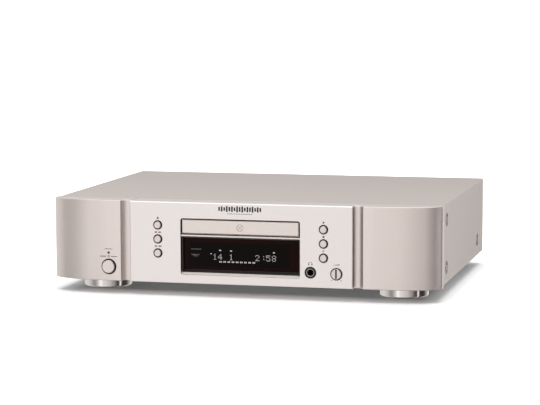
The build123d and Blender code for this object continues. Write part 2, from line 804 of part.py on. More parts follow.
def board_corners(x, y, inset=6.0):
    return [(px, py) for px in (x[0] + inset, x[1] - inset) for py in (y[0] + inset, y[1] - inset)]


def board_screw_places():
    return board_corners(main_board_x, main_board_y) + board_corners(power_board_x, power_board_y)


def board(x, y):
    sheet = block(x, y, (board_bottom, board_top))
    for bx, by in board_corners(x, y):
        sheet -= upright(bx, by, (board_bottom - 1, board_top + 1), 1.6)
    return sheet


def board_screws():
    """Screws that hold the boards, the loader and the transformer down."""
    screw = pan_head_screw(3.0, 2.0, 1.25, 6.0)
    screws = [Pos(x, y, board_top) * screw for x, y in board_screw_places()]
    screws += [Pos(x, y, loader_foot_top) * screw for x, y in loader_foot_places()]
    screws += [Pos(x, y, floor_top + 1.5) * pan_head_screw(3.6, 2.2, 1.25, 2.4)
               for x, y in transformer_screw_places()]
    return screws


def electrolytic_capacitors():
    x0, x1 = power_board_x
    y0 = power_board_y[0]
    big = [(x0 + 26, y0 + 24), (x0 + 54, y0 + 24)]
    small = [(main_board_x[0] + 20 + 14 * step, main_board_y[1] - 62) for step in range(4)]
    small += [(x1 - 16, y0 + 56), (x1 - 32, y0 + 56)]
    cans = [upright(x, y, (board_top, board_top + 32), 10.5) for x, y in big]
    cans += [upright(x, y, (board_top, board_top + 14), 5.0) for x, y in small]
    return [fillet(can.edges().sort_by(Axis.Z)[-1], 1.0) for can in cans]


def heatsink():
    """Finned heatsink for the regulators, standing on the power board."""
    x1 = power_board_x[1]
    y0 = power_board_y[0]
    x = (x1 - 22, x1 - 19)
    y = (y0 + 8, y0 + 44)
    plate = block(x, y, (board_top, board_top + 32))
    fin_count = 6
    for fin in range(fin_count):
        start = y[0] + fin * (y[1] - y[0] - 1.5) / (fin_count - 1)
        plate += block((x[1], x[1] + 9), (start, start + 1.5), (board_top, board_top + 32))
    return plate


def circuit_packages():
    """Integrated circuits, connectors and the output relay on the main board."""
    x0 = main_board_x[0]
    y0, y1 = main_board_y
    near_front = [(22, 46, 20, 44, 2.4), (58, 78, 30, 50, 2.2), (26, 44, 70, 92, 3.0),
                  (62, 74, 80, 96, 2.6)]
    near_rear = [(20, 60, 161, 155, 8.0), (70, 90, 161, 151, 9.0), (22, 32, 128, 112, 11.0),
                 (44, 60, 129, 119, 2.4)]
    packages = [block((x0 + xa, x0 + xb), (y0 + ya, y0 + yb), (board_top, board_top + high))
                for xa, xb, ya, yb, high in near_front]
    packages += [block((x0 + xa, x0 + xb), (y1 - ya, y1 - yb), (board_top, board_top + high))
                 for xa, xb, ya, yb, high in near_rear]
    return packages


def ribbon_cables():
    """Flat cables from the display board and the loader to the main board."""
    thickness = 0.3
    x = main_board_x[0]
    y = loader_back + 6
    rise = loader_base_bottom - 6
    loader_run = block((x - 40, x + 14), (y, y + 16), (rise, rise + thickness))
    loader_run += block((x + 14 - thickness, x + 14), (y, y + 16), (board_top, rise + thickness))
    low = board_top + 4
    cable_x = (window_half - 20, window_half - 4)
    display_run = block(cable_x, (lens_back + 11, lens_back + 11 + thickness),
                        (low, window_bottom + 14))
    display_run += block(cable_x, (lens_back + 11, cover_front + 32), (low, low + thickness))
    display_run += block((cable_x[0], x + 18), (cover_front + 20, cover_front + 32),
                         (low, low + thickness))
    display_run += block((x + 18 - thickness, x + 18), (cover_front + 20, cover_front + 32),
                         (board_top, low + thickness))
    return [loader_run, display_run]


# ---------------------------------------------------------------- loader
def gear_outline(teeth, module, thin):
    """Spur gear outline with involute flanks, each tooth thinned by a share of the backlash."""
    pressure = radians(20)
    pitch = module * teeth / 2
    base = pitch * cos(pressure)
    tip = pitch + 0.95 * module
    root = pitch - 1.2 * module
    half_tooth = (pi * module / 4 - thin / 2) / pitch
    inv_pitch = tan(pressure) - pressure

    def flank_angle(radius):
        turn = acos(min(1.0, base / radius))
        return half_tooth + inv_pitch - (tan(turn) - turn)

    steps = 5
    start = max(base, root)
    radii = [start + (tip - start) * step / steps for step in range(steps + 1)]
    points = []
    for tooth in range(teeth):
        middle = 2 * pi * tooth / teeth
        rising = [(radius, middle - flank_angle(radius)) for radius in radii]
        falling = [(radius, middle + flank_angle(radius)) for radius in reversed(radii)]
        polar = [(root, rising[0][1])] + rising + falling + [(root, falling[-1][1])]
        points += [(radius * cos(angle), radius * sin(angle)) for radius, angle in polar]
    return make_face(Polyline(*points, close=True))


def rack_outline(y, height):
    """Plan of a straight rack whose teeth face -X: a tooth gap is centred on the gear's axis."""
    pitch = pi * rack_module
    lean = tan(radians(20))
    half = pitch / 4 - backlash / 4
    tip_x = rack_pitch_x - 0.9 * rack_module
    root_x = rack_pitch_x + 1.25 * rack_module
    back_x = rack_pitch_x + height
    first = int((y[0] + 2 - gear_y) / pitch) - 1
    last = int((y[1] - 2 - gear_y) / pitch)
    points = [(back_x, y[0]), (root_x, y[0])]
    for tooth in range(first, last):
        centre = gear_y + (tooth + 0.5) * pitch
        if centre - pitch / 2 < y[0] or centre + pitch / 2 > y[1]:
            continue
        tip_half = half - 0.9 * rack_module * lean
        root_half = half + 1.25 * rack_module * lean
        points += [(root_x, centre - root_half), (tip_x, centre - tip_half),
                   (tip_x, centre + tip_half), (root_x, centre + root_half)]
    points += [(root_x, y[1]), (back_x, y[1])]
    return make_face(Polyline(*points, close=True))


def disc_tray():
    """Tray with recesses for large and small discs, a slot open to the rear for the turntable and
    pickup, and a rack under its right-hand side."""
    x = (-tray_half_width, tray_half_width)
    tray = block(x, (tray_start, tray_end), (tray_bottom, tray_top))
    tray = fillet(tray.edges().filter_by(Axis.Z).sort_by(Axis.Y)[-2:], 4)
    tray -= upright(0, disc_y, (recess_floor, tray_top + 1), disc_recess_radius)
    tray -= upright(0, disc_y, (recess_floor - 1.2, tray_top + 1), small_recess_radius)
    tray -= upright(0, disc_y, (tray_bottom - 1, tray_top + 1), tray_slot_half)
    tray -= block((-tray_slot_half, tray_slot_half), (disc_y, tray_end + 1),
                  (tray_bottom - 1, tray_top + 1))
    lightening = tray_half_width - 6
    for side in (-1, 1):
        tray -= block(sorted((side * (tray_slot_half + 6), side * lightening)),
                      (disc_y + disc_recess_radius + 6, tray_end - 8), (tray_bottom + 2, tray_top + 1))
    notch = 12.0
    for side in (-1, 1):
        tray -= upright(side * disc_recess_radius, disc_y, (recess_floor, tray_top + 1), notch / 2)
    rack = rack_outline((tray_start + 6, tray_end - 2), 4.5)
    return tray + extrude(Pos(0, 0, rack_bottom) * rack, tray_bottom - rack_bottom + 0.5)


def tray_front():
    half = window_half - tray_front_gap
    face = block((-half, half), (front, tray_start), (tray_front_bottom, tray_front_top))
    edges = face.edges().filter_by(lambda e: abs(e.center().Y - front) < 0.01)
    return chamfer(edges, tray_front_chamfer)


loader_foot_top = loader_base_top


def loader_foot_places():
    x = loader_half - 10
    return [(side * x, y) for side in (-1, 1) for y in (loader_front + 40, loader_back - 10)]


def loader_chassis():
    """Moulded frame: side walls with rails for the tray, a base with an opening the traverse drops
    through, legs, and posts for the gear and the motor."""
    y = (loader_front, loader_back)
    base = block((-loader_half, loader_half), y, (loader_base_bottom, loader_base_top))
    opening = (traverse_half_width + 5, disc_y - 22, pivot_y + 6)
    base -= block((-opening[0], opening[0]), (opening[1], opening[2]),
                  (loader_base_bottom - 1, loader_base_top + 1))
    for side in (-1, 1):
        base += block(sorted((side * loader_inner, side * loader_half)), y,
                      (loader_base_bottom, loader_wall_top))
        base += block(sorted((side * (loader_inner - 4), side * loader_half)), y,
                      (tray_bottom - 2.8, tray_bottom - fit_gap))
        for start in (loader_front, loader_front + 58, loader_front + 116):
            base += block(sorted((side * (loader_inner - 3), side * loader_half)),
                          (start, start + 10), (tray_top + fit_gap, tray_top + 2.3))
        arm_x = traverse_half_width + 1.0
        bracket = block(sorted((side * arm_x, side * (arm_x + 6))), (pivot_y - 5, pivot_y + 5),
                        (loader_base_bottom, pivot_z + 5))
        base += bracket - along_x(sorted((side * (arm_x - 1), side * (arm_x + 7))), pivot_y, pivot_z,
                                  pivot_radius + running_gap)
    for x, py in loader_foot_places():
        base += upright(x, py, (floor_top, loader_base_bottom), 5)
        base -= upright(x, py, (loader_base_top - 7, loader_base_top + 1), 1.3)
    base += upright(gear_x, gear_y, (loader_base_top, pulley_bottom - 0.3), 4)
    base += upright(gear_x, gear_y, (pulley_bottom - 0.3, gear_bottom + gear_height), 1.95)
    return base - upright(motor_x, motor_y, (loader_base_bottom - 1, loader_base_top + 1), 10.3)


def loader_gear():
    """Gear that drives the rack, in one piece with its belt pulley."""
    gear = extrude(Pos(0, 0, gear_bottom) * gear_outline(gear_teeth, rack_module, backlash / 2),
                   gear_height)
    pulley = upright(0, 0, (pulley_bottom, pulley_bottom + pulley_height), pulley_radius)
    groove = upright(0, 0, (pulley_bottom + 1, pulley_bottom + 3), pulley_radius + 1)
    pulley -= groove - upright(0, 0, (pulley_bottom, pulley_bottom + 4), pulley_radius - 1.5)
    hub = upright(0, 0, (pulley_bottom, gear_bottom + 1), 5)
    bore = upright(0, 0, (pulley_bottom - 1, gear_bottom + 10), 1.95 + running_gap)
    return Pos(gear_x, gear_y, 0) * (gear + pulley + hub - bore)


def motor_pulley():
    pulley = upright(0, 0, (pulley_bottom, pulley_bottom + pulley_height), motor_pulley_radius)
    groove = upright(0, 0, (pulley_bottom + 1, pulley_bottom + 3), motor_pulley_radius + 1)
    pulley -= groove - upright(0, 0, (pulley_bottom, pulley_bottom + 4), motor_pulley_radius - 1.2)
    bore = upright(0, 0, (pulley_bottom - 1, pulley_bottom + 5), 1.0 + running_gap)
    return Pos(motor_x, motor_y, 0) * (pulley - bore)


def loader_motor():
    can = upright(motor_x, motor_y, (loader_base_top - 14, pulley_bottom - 2.2), 10.1)
    can = fillet(can.edges().sort_by(Axis.Z)[0], 1.2)
    boss = upright(motor_x, motor_y, (pulley_bottom - 2.2, pulley_bottom - 1.0), 3)
    shaft = upright(motor_x, motor_y, (pulley_bottom - 1.0, pulley_bottom + pulley_height + 1), 1.0)
    collar = block((motor_x - 14, motor_x + 14), (motor_y - 8, motor_y + 8),
                   (loader_base_top + 0.1, loader_base_top + 1.5))
    collar = collar - upright(motor_x, motor_y, (loader_base_top, loader_base_top + 2), 10.0)
    return can + boss + shaft + collar


def loader_belt():
    middle = pulley_bottom + pulley_height / 2

    def loop(grow):
        circles = [CenterArc((gear_x, gear_y), pulley_radius - 1.5 + grow, 0, 360),
                   CenterArc((motor_x, motor_y), motor_pulley_radius - 1.2 + grow, 0, 360)]
        return make_hull([edge for circle in circles for edge in circle.edges()])

    ring = loop(0.1 + belt_thickness) - loop(0.1)
    return extrude(Pos(0, 0, middle - belt_height / 2) * ring, belt_height)


def clamp_bridge():
    """Sprung steel strap across the loader that carries the clamp."""
    z = (loader_wall_top, bridge_top)
    strap = block((-loader_half, loader_half), (disc_y - 16, disc_y + 16), z)
    strap = fillet(strap.edges().filter_by(Axis.Z), 3)
    strap -= upright(0, disc_y, (z[0] - 1, z[1] + 1), 9.0)
    for side in (-1, 1):
        strap -= block(sorted((side * 24, side * 50)), (disc_y - 5, disc_y + 5), (z[0] - 1, z[1] + 1))
    return strap


def clamp_puck():
    puck = upright(0, disc_y, (puck_bottom, loader_wall_top - 0.4), puck_radius)
    puck = fillet(puck.edges().sort_by(Axis.Z)[0], 0.8)
    puck += upright(0, disc_y, (loader_wall_top - 0.4, bridge_top + 0.4), 8.0)
    puck += upright(0, disc_y, (bridge_top + 0.4, bridge_top + 2.0), 11.0)
    return puck - upright(0, disc_y, (puck_bottom - 1, puck_bottom + 0.6), 8.0)


# ---------------------------------------------------------------- traverse
def traverse_plate():
    """Hinged plate under the tray: it holds the spindle motor, the rods and the sled drive."""
    y = (disc_y - spindle_can_radius - 3.5, pivot_y)
    plate = block((-traverse_half_width, traverse_half_width), y, (traverse_bottom, traverse_top))
    plate = fillet(plate.edges().filter_by(Axis.Z).sort_by(Axis.Y)[:2], 6)
    plate -= upright(0, disc_y, (traverse_bottom - 1, traverse_top + 1), 4)
    for side in (-1, 1):
        pin = along_x(sorted((side * (traverse_half_width - 6),
                              side * (traverse_half_width + pivot_length - 1.0))),
                      pivot_y, pivot_z, pivot_radius)
        plate += pin
        for ry in rod_ends():
            plate += block(sorted((side * (rod_x - 3), side * (rod_x + 3))), (ry - 1.5, ry + 1.5),
                           (traverse_top, rod_z + rod_radius + 0.6))
    plate += along_x((-traverse_half_width, traverse_half_width), pivot_y, pivot_z, 3)
    for side in (-1, 1):
        plate -= along_y(side * rod_x, (rod_ends()[0] - 2, rod_ends()[1] + 2), rod_z, rod_radius)
    return plate


def rod_ends():
    return (sled_start - 3.5, sled_start + sled_length + sled_travel + 3.5)


def guide_rods():
    y = (rod_ends()[0] - 1.5, rod_ends()[1] + 1.5)
    return [along_y(side * rod_x, y, rod_z, rod_radius) for side in (-1, 1)]


def spindle_motor():
    can = upright(0, disc_y, (traverse_bottom - 10, traverse_bottom), spindle_can_radius)
    can = fillet(can.edges().sort_by(Axis.Z)[0], 1)
    boss = upright(0, disc_y, (traverse_bottom, traverse_top), 3.8)
    return can + boss + upright(0, disc_y, (traverse_top, turntable_bottom + 1.5), 1.0)


def turntable():
    table = upright(0, disc_y, (turntable_bottom, turntable_top), turntable_radius)
    table += Pos(0, disc_y, turntable_top) * Cone(
        7.4, 5.4, cone_top - turntable_top, align=(Align.CENTER, Align.CENTER, Align.MIN))
    return table - upright(0, disc_y, (turntable_bottom - 1, turntable_bottom + 3), 1.0 + running_gap)


def pickup_sled():
    """Die-cast sled that slides on the two rods and carries the lens."""
    y = (sled_start, sled_start + sled_length)
    sled = block((-sled_half_width, sled_half_width), y, (sled_bottom, sled_top))
    for side in (-1, 1):
        sled -= along_y(side * rod_x, (y[0] - 1, y[1] + 1), rod_z, rod_radius + running_gap)
    middle = (y[0] + y[1]) / 2
    sled += upright(0, middle, (sled_top, sled_top + 1.6), 9)
    return sled - upright(0, middle, (sled_top - 2, sled_top + 2), 4)


def pickup_lens():
    middle = sled_start + sled_length / 2
    lens = upright(0, middle, (sled_top - 2, sled_top + 2.2), 3.6)
    return fillet(lens.edges().sort_by(Axis.Z)[-1], 0.9)


def sled_motor():
    """Small motor lying under the traverse, beside the sled's screw drive."""
    x = (-18, 4)
    y = disc_y + 52
    z = traverse_bottom - 7.2
    can = along_x(x, y, z, 7.0)
    can = fillet(can.edges().filter_by(GeomType.CIRCLE), 0.8)
    return can + block((x[0] + 3, x[1] - 3), (y - 5, y + 5), (z, traverse_bottom))


# ---------------------------------------------------------------- write every node
def main():
    os.makedirs("parts", exist_ok=True)
    save("front_plate", front_plate())
    save("left_wing", left_wing())
    save("right_wing", plain_wing())
    save("front_frame", front_frame())
    save("display_bezel", display_bezel())
    save("display_lens", display_lens())
    button_names = ("eject", "previous", "next", "play", "stop", "pause")
    for name, (x, z) in zip(button_names, button_places()):
        save(f"{name}_button", button(x, z))
    save("power_button", power_button())
    save("power_switch", power_switch())
    save("power_lamp", power_lamp())
    save("level_knob", level_knob())
    save("level_shaft", level_shaft())
    save("level_potentiometer", level_potentiometer())
    save("headphone_jack", headphone_jack())
    save("headphone_nut", headphone_nut())
    save("front_boards", *front_boards())
    save("tact_switches", *tact_switches())
    save("display_tube", vfd_tube())
    save("feet", *[foot(x, y) for x, y in foot_places()])
    save("foot_pads", *[foot_pad(x, y) for x, y in foot_places()])
    save("foot_screws", *[foot_screw(x, y) for x, y in foot_places()])
    save("bottom_chassis", bottom_chassis())
    save("top_cover", top_cover())
    save("cover_screws", *cover_screws())
    save("rear_panel", rear_panel())
    save("socket_screws", *socket_screws())
    save("phono_housings", *phono_housings())
    save("phono_sleeves", *phono_sleeves())
    save("optical_socket", optical_socket())
    save("ac_inlet", ac_inlet())
    save("ac_inlet_pins", *ac_inlet_pins())
    save("transformer_core", transformer_core())
    save("transformer_winding", transformer_winding())
    save("power_board", board(power_board_x, power_board_y))
    save("main_board", board(main_board_x, main_board_y))
    save("board_screws", *board_screws())
    save("electrolytic_capacitors", *electrolytic_capacitors())
    save("heatsink", heatsink())
    save("circuit_packages", *circuit_packages())
    save("ribbon_cables", *ribbon_cables())
    save("disc_tray", disc_tray())
    save("tray_front", tray_front())
    save("loader_chassis", loader_chassis())
    save("loader_gear", loader_gear())
    save("motor_pulley", motor_pulley())
    save("loader_motor", loader_motor())
    save("loader_belt", loader_belt())
    save("clamp_bridge", clamp_bridge())
    save("clamp_puck", clamp_puck())
    save("traverse_plate", traverse_plate())
    save("guide_rods", *guide_rods())
    save("traverse_motors", spindle_motor(), sled_motor())
    save("turntable", turntable())
    save("pickup_sled", pickup_sled())
    save("pickup_lens", pickup_lens())


main()
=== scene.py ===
import json
import math

import bmesh
import bpy
from mathutils import Matrix, Vector


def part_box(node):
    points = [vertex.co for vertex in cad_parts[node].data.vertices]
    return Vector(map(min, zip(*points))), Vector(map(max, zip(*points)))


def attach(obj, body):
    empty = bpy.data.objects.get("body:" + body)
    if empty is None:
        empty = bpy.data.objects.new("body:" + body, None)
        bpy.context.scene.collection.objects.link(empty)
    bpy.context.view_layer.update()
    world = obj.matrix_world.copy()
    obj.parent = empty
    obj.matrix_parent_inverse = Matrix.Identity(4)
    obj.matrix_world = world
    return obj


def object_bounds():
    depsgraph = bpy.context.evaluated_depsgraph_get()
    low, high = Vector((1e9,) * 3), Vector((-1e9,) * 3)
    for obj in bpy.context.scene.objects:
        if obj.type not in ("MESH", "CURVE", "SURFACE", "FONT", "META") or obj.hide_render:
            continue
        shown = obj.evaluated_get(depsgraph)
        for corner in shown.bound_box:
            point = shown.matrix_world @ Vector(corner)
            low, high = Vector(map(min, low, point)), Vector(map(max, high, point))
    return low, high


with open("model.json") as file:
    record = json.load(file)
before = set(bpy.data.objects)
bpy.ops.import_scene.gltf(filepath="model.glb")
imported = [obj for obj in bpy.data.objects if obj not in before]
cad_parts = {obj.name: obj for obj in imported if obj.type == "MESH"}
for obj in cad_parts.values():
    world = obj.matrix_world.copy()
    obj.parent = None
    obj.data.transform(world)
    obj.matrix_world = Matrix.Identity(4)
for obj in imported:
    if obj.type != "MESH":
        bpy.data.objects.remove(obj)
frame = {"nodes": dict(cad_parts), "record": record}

cad_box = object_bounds()

MM = 0.001


# ---------------------------------------------------------------- places, all from the frame
def centre(node):
    low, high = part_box(node)
    return (low + high) / 2


PLATE_LOW, PLATE_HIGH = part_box("front_plate")
FRONT = PLATE_LOW.y
TRAY_LOW, TRAY_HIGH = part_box("tray_front")
LENS_LOW, LENS_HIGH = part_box("display_lens")
KNOB = centre("level_knob")
POWER = centre("power_button")
LAMP = centre("power_lamp")
JACK = centre("headphone_nut")
WING_SETBACK = 1.0 * MM
WING_FACE = FRONT + WING_SETBACK
LEFT_BUTTONS = ("eject", "previous", "next")
RIGHT_BUTTONS = ("play", "stop", "pause")
# radius of each round cap, and of the hole it sits in
BUTTON_CAP, BUTTON_HOLE = 3.9 * MM, 5.0 * MM
POWER_CAP, POWER_HOLE = 7.3 * MM, 8.5 * MM
KNOB_CAP, KNOB_WELL = 5.7 * MM, 6.6 * MM
# gap round the tray front, and the space left between a cap and the ring behind it
TRAY_GAP = 1.2 * MM
CLEAR = 0.15 * MM


def srgb(red, green, blue):
    """Linear colour of an 8-bit display colour."""
    def linear(value):
        value /= 255.0
        return value / 12.92 if value <= 0.04045 else ((value + 0.055) / 1.055) ** 2.4
    return (linear(red), linear(green), linear(blue), 1.0)


# ---------------------------------------------------------------- materials
class Surface:
    """A principled material whose colour, roughness and relief come from procedural textures."""

    def __init__(self, name, space="Object", **shader):
        self.material = bpy.data.materials.new(name)
        self.material.use_nodes = True
        self.tree = self.material.node_tree
        self.shader = self.tree.nodes["Principled BSDF"]
        for socket, value in shader.items():
            self.shader.inputs[socket.replace("_", " ")].default_value = value
        self.space = self.node("ShaderNodeTexCoord").outputs[space]
        self.height = None

    def node(self, kind, **settings):
        made = self.tree.nodes.new(kind)
        for key, value in settings.items():
            setattr(made, key, value)
        return made

    def link(self, source, target):
        self.tree.links.new(source, target)

    def stretched(self, stretch, shift=(0, 0, 0)):
        mapping = self.node("ShaderNodeMapping")
        mapping.inputs["Scale"].default_value = stretch
        mapping.inputs["Location"].default_value = shift
        self.link(self.space, mapping.inputs["Vector"])
        return mapping.outputs["Vector"]

    def noise(self, scale, stretch=(1, 1, 1), detail=3.0, roughness=0.55):
        texture = self.node("ShaderNodeTexNoise")
        texture.inputs["Scale"].default_value = scale
        texture.inputs["Detail"].default_value = detail
        texture.inputs["Roughness"].default_value = roughness
        self.link(self.stretched(stretch), texture.inputs["Vector"])
        return texture.outputs["Fac"]

    def cells(self, scale, stretch=(1, 1, 1), feature="F1", output="Distance"):
        texture = self.node("ShaderNodeTexVoronoi", feature=feature)
        texture.inputs["Scale"].default_value = scale
        self.link(self.stretched(stretch), texture.inputs["Vector"])
        return texture.outputs[output]

    def wave(self, scale, kind="BANDS", direction="X", shift=(0, 0, 0), distortion=0.0):
        texture = self.node("ShaderNodeTexWave", wave_type=kind)
        if kind == "BANDS":
            texture.bands_direction = direction
        else:
            texture.rings_direction = direction
        texture.inputs["Scale"].default_value = scale
        texture.inputs["Distortion"].default_value = distortion
        self.link(self.stretched((1, 1, 1), shift), texture.inputs["Vector"])
        return texture.outputs["Fac"]

    def bricks(self, scale, stretch, mortar=0.02):
        texture = self.node("ShaderNodeTexBrick")
        texture.inputs["Scale"].default_value = scale
        texture.inputs["Mortar Size"].default_value = mortar
        texture.inputs["Color1"].default_value = (1, 1, 1, 1)
        texture.inputs["Color2"].default_value = (0.8, 0.8, 0.8, 1)
        self.link(self.stretched(stretch), texture.inputs["Vector"])
        return texture.outputs["Fac"]

    def band(self, value, low, high, out_low=0.0, out_high=1.0):
        ranged = self.node("ShaderNodeMapRange")
        ranged.inputs["From Min"].default_value = low
        ranged.inputs["From Max"].default_value = high
        ranged.inputs["To Min"].default_value = out_low
        ranged.inputs["To Max"].default_value = out_high
        self.link(value, ranged.inputs["Value"])
        return ranged.outputs["Result"]

    def blend(self, factor, first, second):
        mix = self.node("ShaderNodeMix", data_type="RGBA")
        self.link(factor, mix.inputs["Factor"])
        for socket, value in ((mix.inputs[6], first), (mix.inputs[7], second)):
            if isinstance(value, bpy.types.NodeSocket):
                self.link(value, socket)
            else:
                socket.default_value = value
        return mix.outputs[2]

    def worn_edges(self, amount=0.5):
        geometry = self.node("ShaderNodeNewGeometry")
        return self.band(geometry.outputs["Pointiness"], 0.52, 0.60, 0.0, amount)

    def colour(self, value):
        self.link(value, self.shader.inputs["Base Color"])
        return self

    def rough(self, value, low, high):
        self.link(self.band(value, 0.3, 0.7, low, high), self.shader.inputs["Roughness"])
        return self

    def relief(self, value, depth, strength=1.0):
        bump = self.node("ShaderNodeBump")
        bump.inputs["Distance"].default_value = depth
        bump.inputs["Strength"].default_value = strength
        self.link(value, bump.inputs["Height"])
        if self.height is not None:
            self.link(self.height, bump.inputs["Normal"])
        self.height = bump.outputs["Normal"]
        self.link(self.height, self.shader.inputs["Normal"])
        return self


def shade(colour, factor):
    return tuple(min(1.0, channel * factor) for channel in colour[:3]) + (1.0,)


def brushed(name, colour, roughness, stretch, streak=0.04, depth=0.000004, **shader):
    """Metal with fine parallel brushing: the grain runs along the axis with the small stretch."""
    made = Surface(name, **shader)
    streaks = made.noise(1.0, stretch, detail=4.0, roughness=0.7)
    cloud = made.noise(9.0, detail=2.0)
    tone = made.blend(made.band(streaks, 0.3, 0.7), shade(colour, 1 - streak), shade(colour, 1 + streak))
    tone = made.blend(made.band(cloud, 0.35, 0.65, 0.0, 0.35), tone, shade(colour, 0.97))
    made.colour(tone)
    made.rough(streaks, roughness - 0.04, roughness + 0.06)
    return made.relief(streaks, depth)


def metallic_paint(name, colour, roughness, flake=2600.0, depth=0.000006, painted_light_drift=0.0, **shader):
    """Satin metallic paint: fine flakes that differ in tone, a slight orange peel, and, when asked,
    painted light that makes the colour a little lighter towards the front and darker towards the back."""
    made = Surface(name, **shader)
    flakes = made.cells(flake, output="Color")
    tone = made.node("ShaderNodeSeparateColor")
    made.link(flakes, tone.inputs["Color"])
    peel = made.noise(420.0, detail=2.0)
    cloud = made.noise(6.0, detail=2.0)
    body = made.blend(made.band(tone.outputs["Red"], 0.0, 1.0), shade(colour, 0.95), shade(colour, 1.05))
    body = made.blend(made.band(cloud, 0.35, 0.65, 0.0, 0.4), body, shade(colour, 0.975))
    body = made.blend(made.worn_edges(0.25), body, shade(colour, 1.12))
    # painted light: the colour is scaled lighter towards the front and darker towards the back
    if painted_light_drift:
        split = made.node("ShaderNodeSeparateXYZ")
        made.link(made.space, split.inputs["Vector"])
        light = made.band(split.outputs["Y"], -0.14, 0.16, 1 + painted_light_drift, 1 - painted_light_drift)
        scaled = made.node("ShaderNodeVectorMath", operation="SCALE")
        made.link(body, scaled.inputs[0])
        made.link(light, scaled.inputs["Scale"])
        body = scaled.outputs[0]
    made.colour(body)
    made.rough(peel, roughness - 0.03, roughness + 0.05)
    return made.relief(peel, depth)


def moulded(name, colour, roughness, grain=900.0, depth=0.00001, **shader):
    """Moulded plastic with a fine spark-eroded grain and slightly polished edges."""
    made = Surface(name, **shader)
    fine = made.noise(grain, detail=2.0)
    cloud = made.noise(14.0, detail=3.0)
    body = made.blend(made.band(cloud, 0.3, 0.7), shade(colour, 0.88), shade(colour, 1.1))
    body = made.blend(made.worn_edges(0.4), body, shade(colour, 1.5))
    made.colour(body)
    made.rough(fine, roughness - 0.05, roughness + 0.07)
    return made.relief(fine, depth)


def turned(name, colour, roughness, axis, rings=40.0, depth=0.000006, **shader):
    """Lathe-turned metal: faint rings about the piece's own middle."""
    made = Surface(name, space="Generated", **shader)
    circles = made.wave(rings, kind="RINGS", direction=axis, shift=(-0.5, -0.5, -0.5), distortion=0.4)
    speck = made.noise(60.0, detail=3.0)
    body = made.blend(circles, shade(colour, 0.96), shade(colour, 1.04))
    body = made.blend(made.band(speck, 0.4, 0.7, 0.0, 0.3), body, shade(colour, 0.94))
    made.colour(body)
    made.rough(speck, roughness - 0.04, roughness + 0.05)
    return made.relief(circles, depth)


def smoked_lens():
    """Smoked acrylic with a darker mask behind its middle and a reddish border."""
    made = Surface("smoked_lens", Roughness=0.06, IOR=1.49, Specular_IOR_Level=0.05)
    haze = made.noise(35.0, detail=2.0)
    places = made.node("ShaderNodeTexCoord").outputs["Generated"]
    split = made.node("ShaderNodeSeparateXYZ")
    made.link(places, split.inputs["Vector"])
    borders = []
    for axis, reach in (("X", 0.42), ("Z", 0.36)):
        offset = made.node("ShaderNodeMath", operation="SUBTRACT")
        offset.inputs[1].default_value = 0.48
        size = made.node("ShaderNodeMath", operation="ABSOLUTE")
        made.link(split.outputs[axis], offset.inputs[0])
        made.link(offset.outputs[0], size.inputs[0])
        borders.append(made.band(size.outputs[0], reach, reach + 0.03))
    either = made.node("ShaderNodeMath", operation="MAXIMUM")
    made.link(borders[0], either.inputs[0])
    made.link(borders[1], either.inputs[1])
    body = made.blend(either.outputs[0], srgb(8, 4, 4), srgb(26, 5, 3))
    made.colour(made.blend(made.band(haze, 0.3, 0.7, 0.0, 0.3), body, srgb(16, 6, 5)))
    made.rough(haze, 0.05, 0.09)
    return made.relief(haze, 0.000002)


def circuit_board(name, mask, copper, stretch):
    """Solder mask with straight tracks and round pads showing through."""
    made = Surface(name, Roughness=0.45)
    tracks = made.bricks(1.0, stretch, 0.09)
    pads = made.band(made.cells(210.0), 0.10, 0.16, 1.0, 0.0)
    cloth = made.noise(1400.0, detail=1.0)
    body = made.blend(tracks, mask, shade(mask, 1.35))
    body = made.blend(pads, body, copper)
    made.colour(body)
    made.rough(cloth, 0.35, 0.55)
    return made.relief(tracks, 0.00003)


CHAMPAGNE = srgb(231, 224, 221)
PAINT = srgb(224, 213, 208)
COVER = srgb(201, 192, 187)


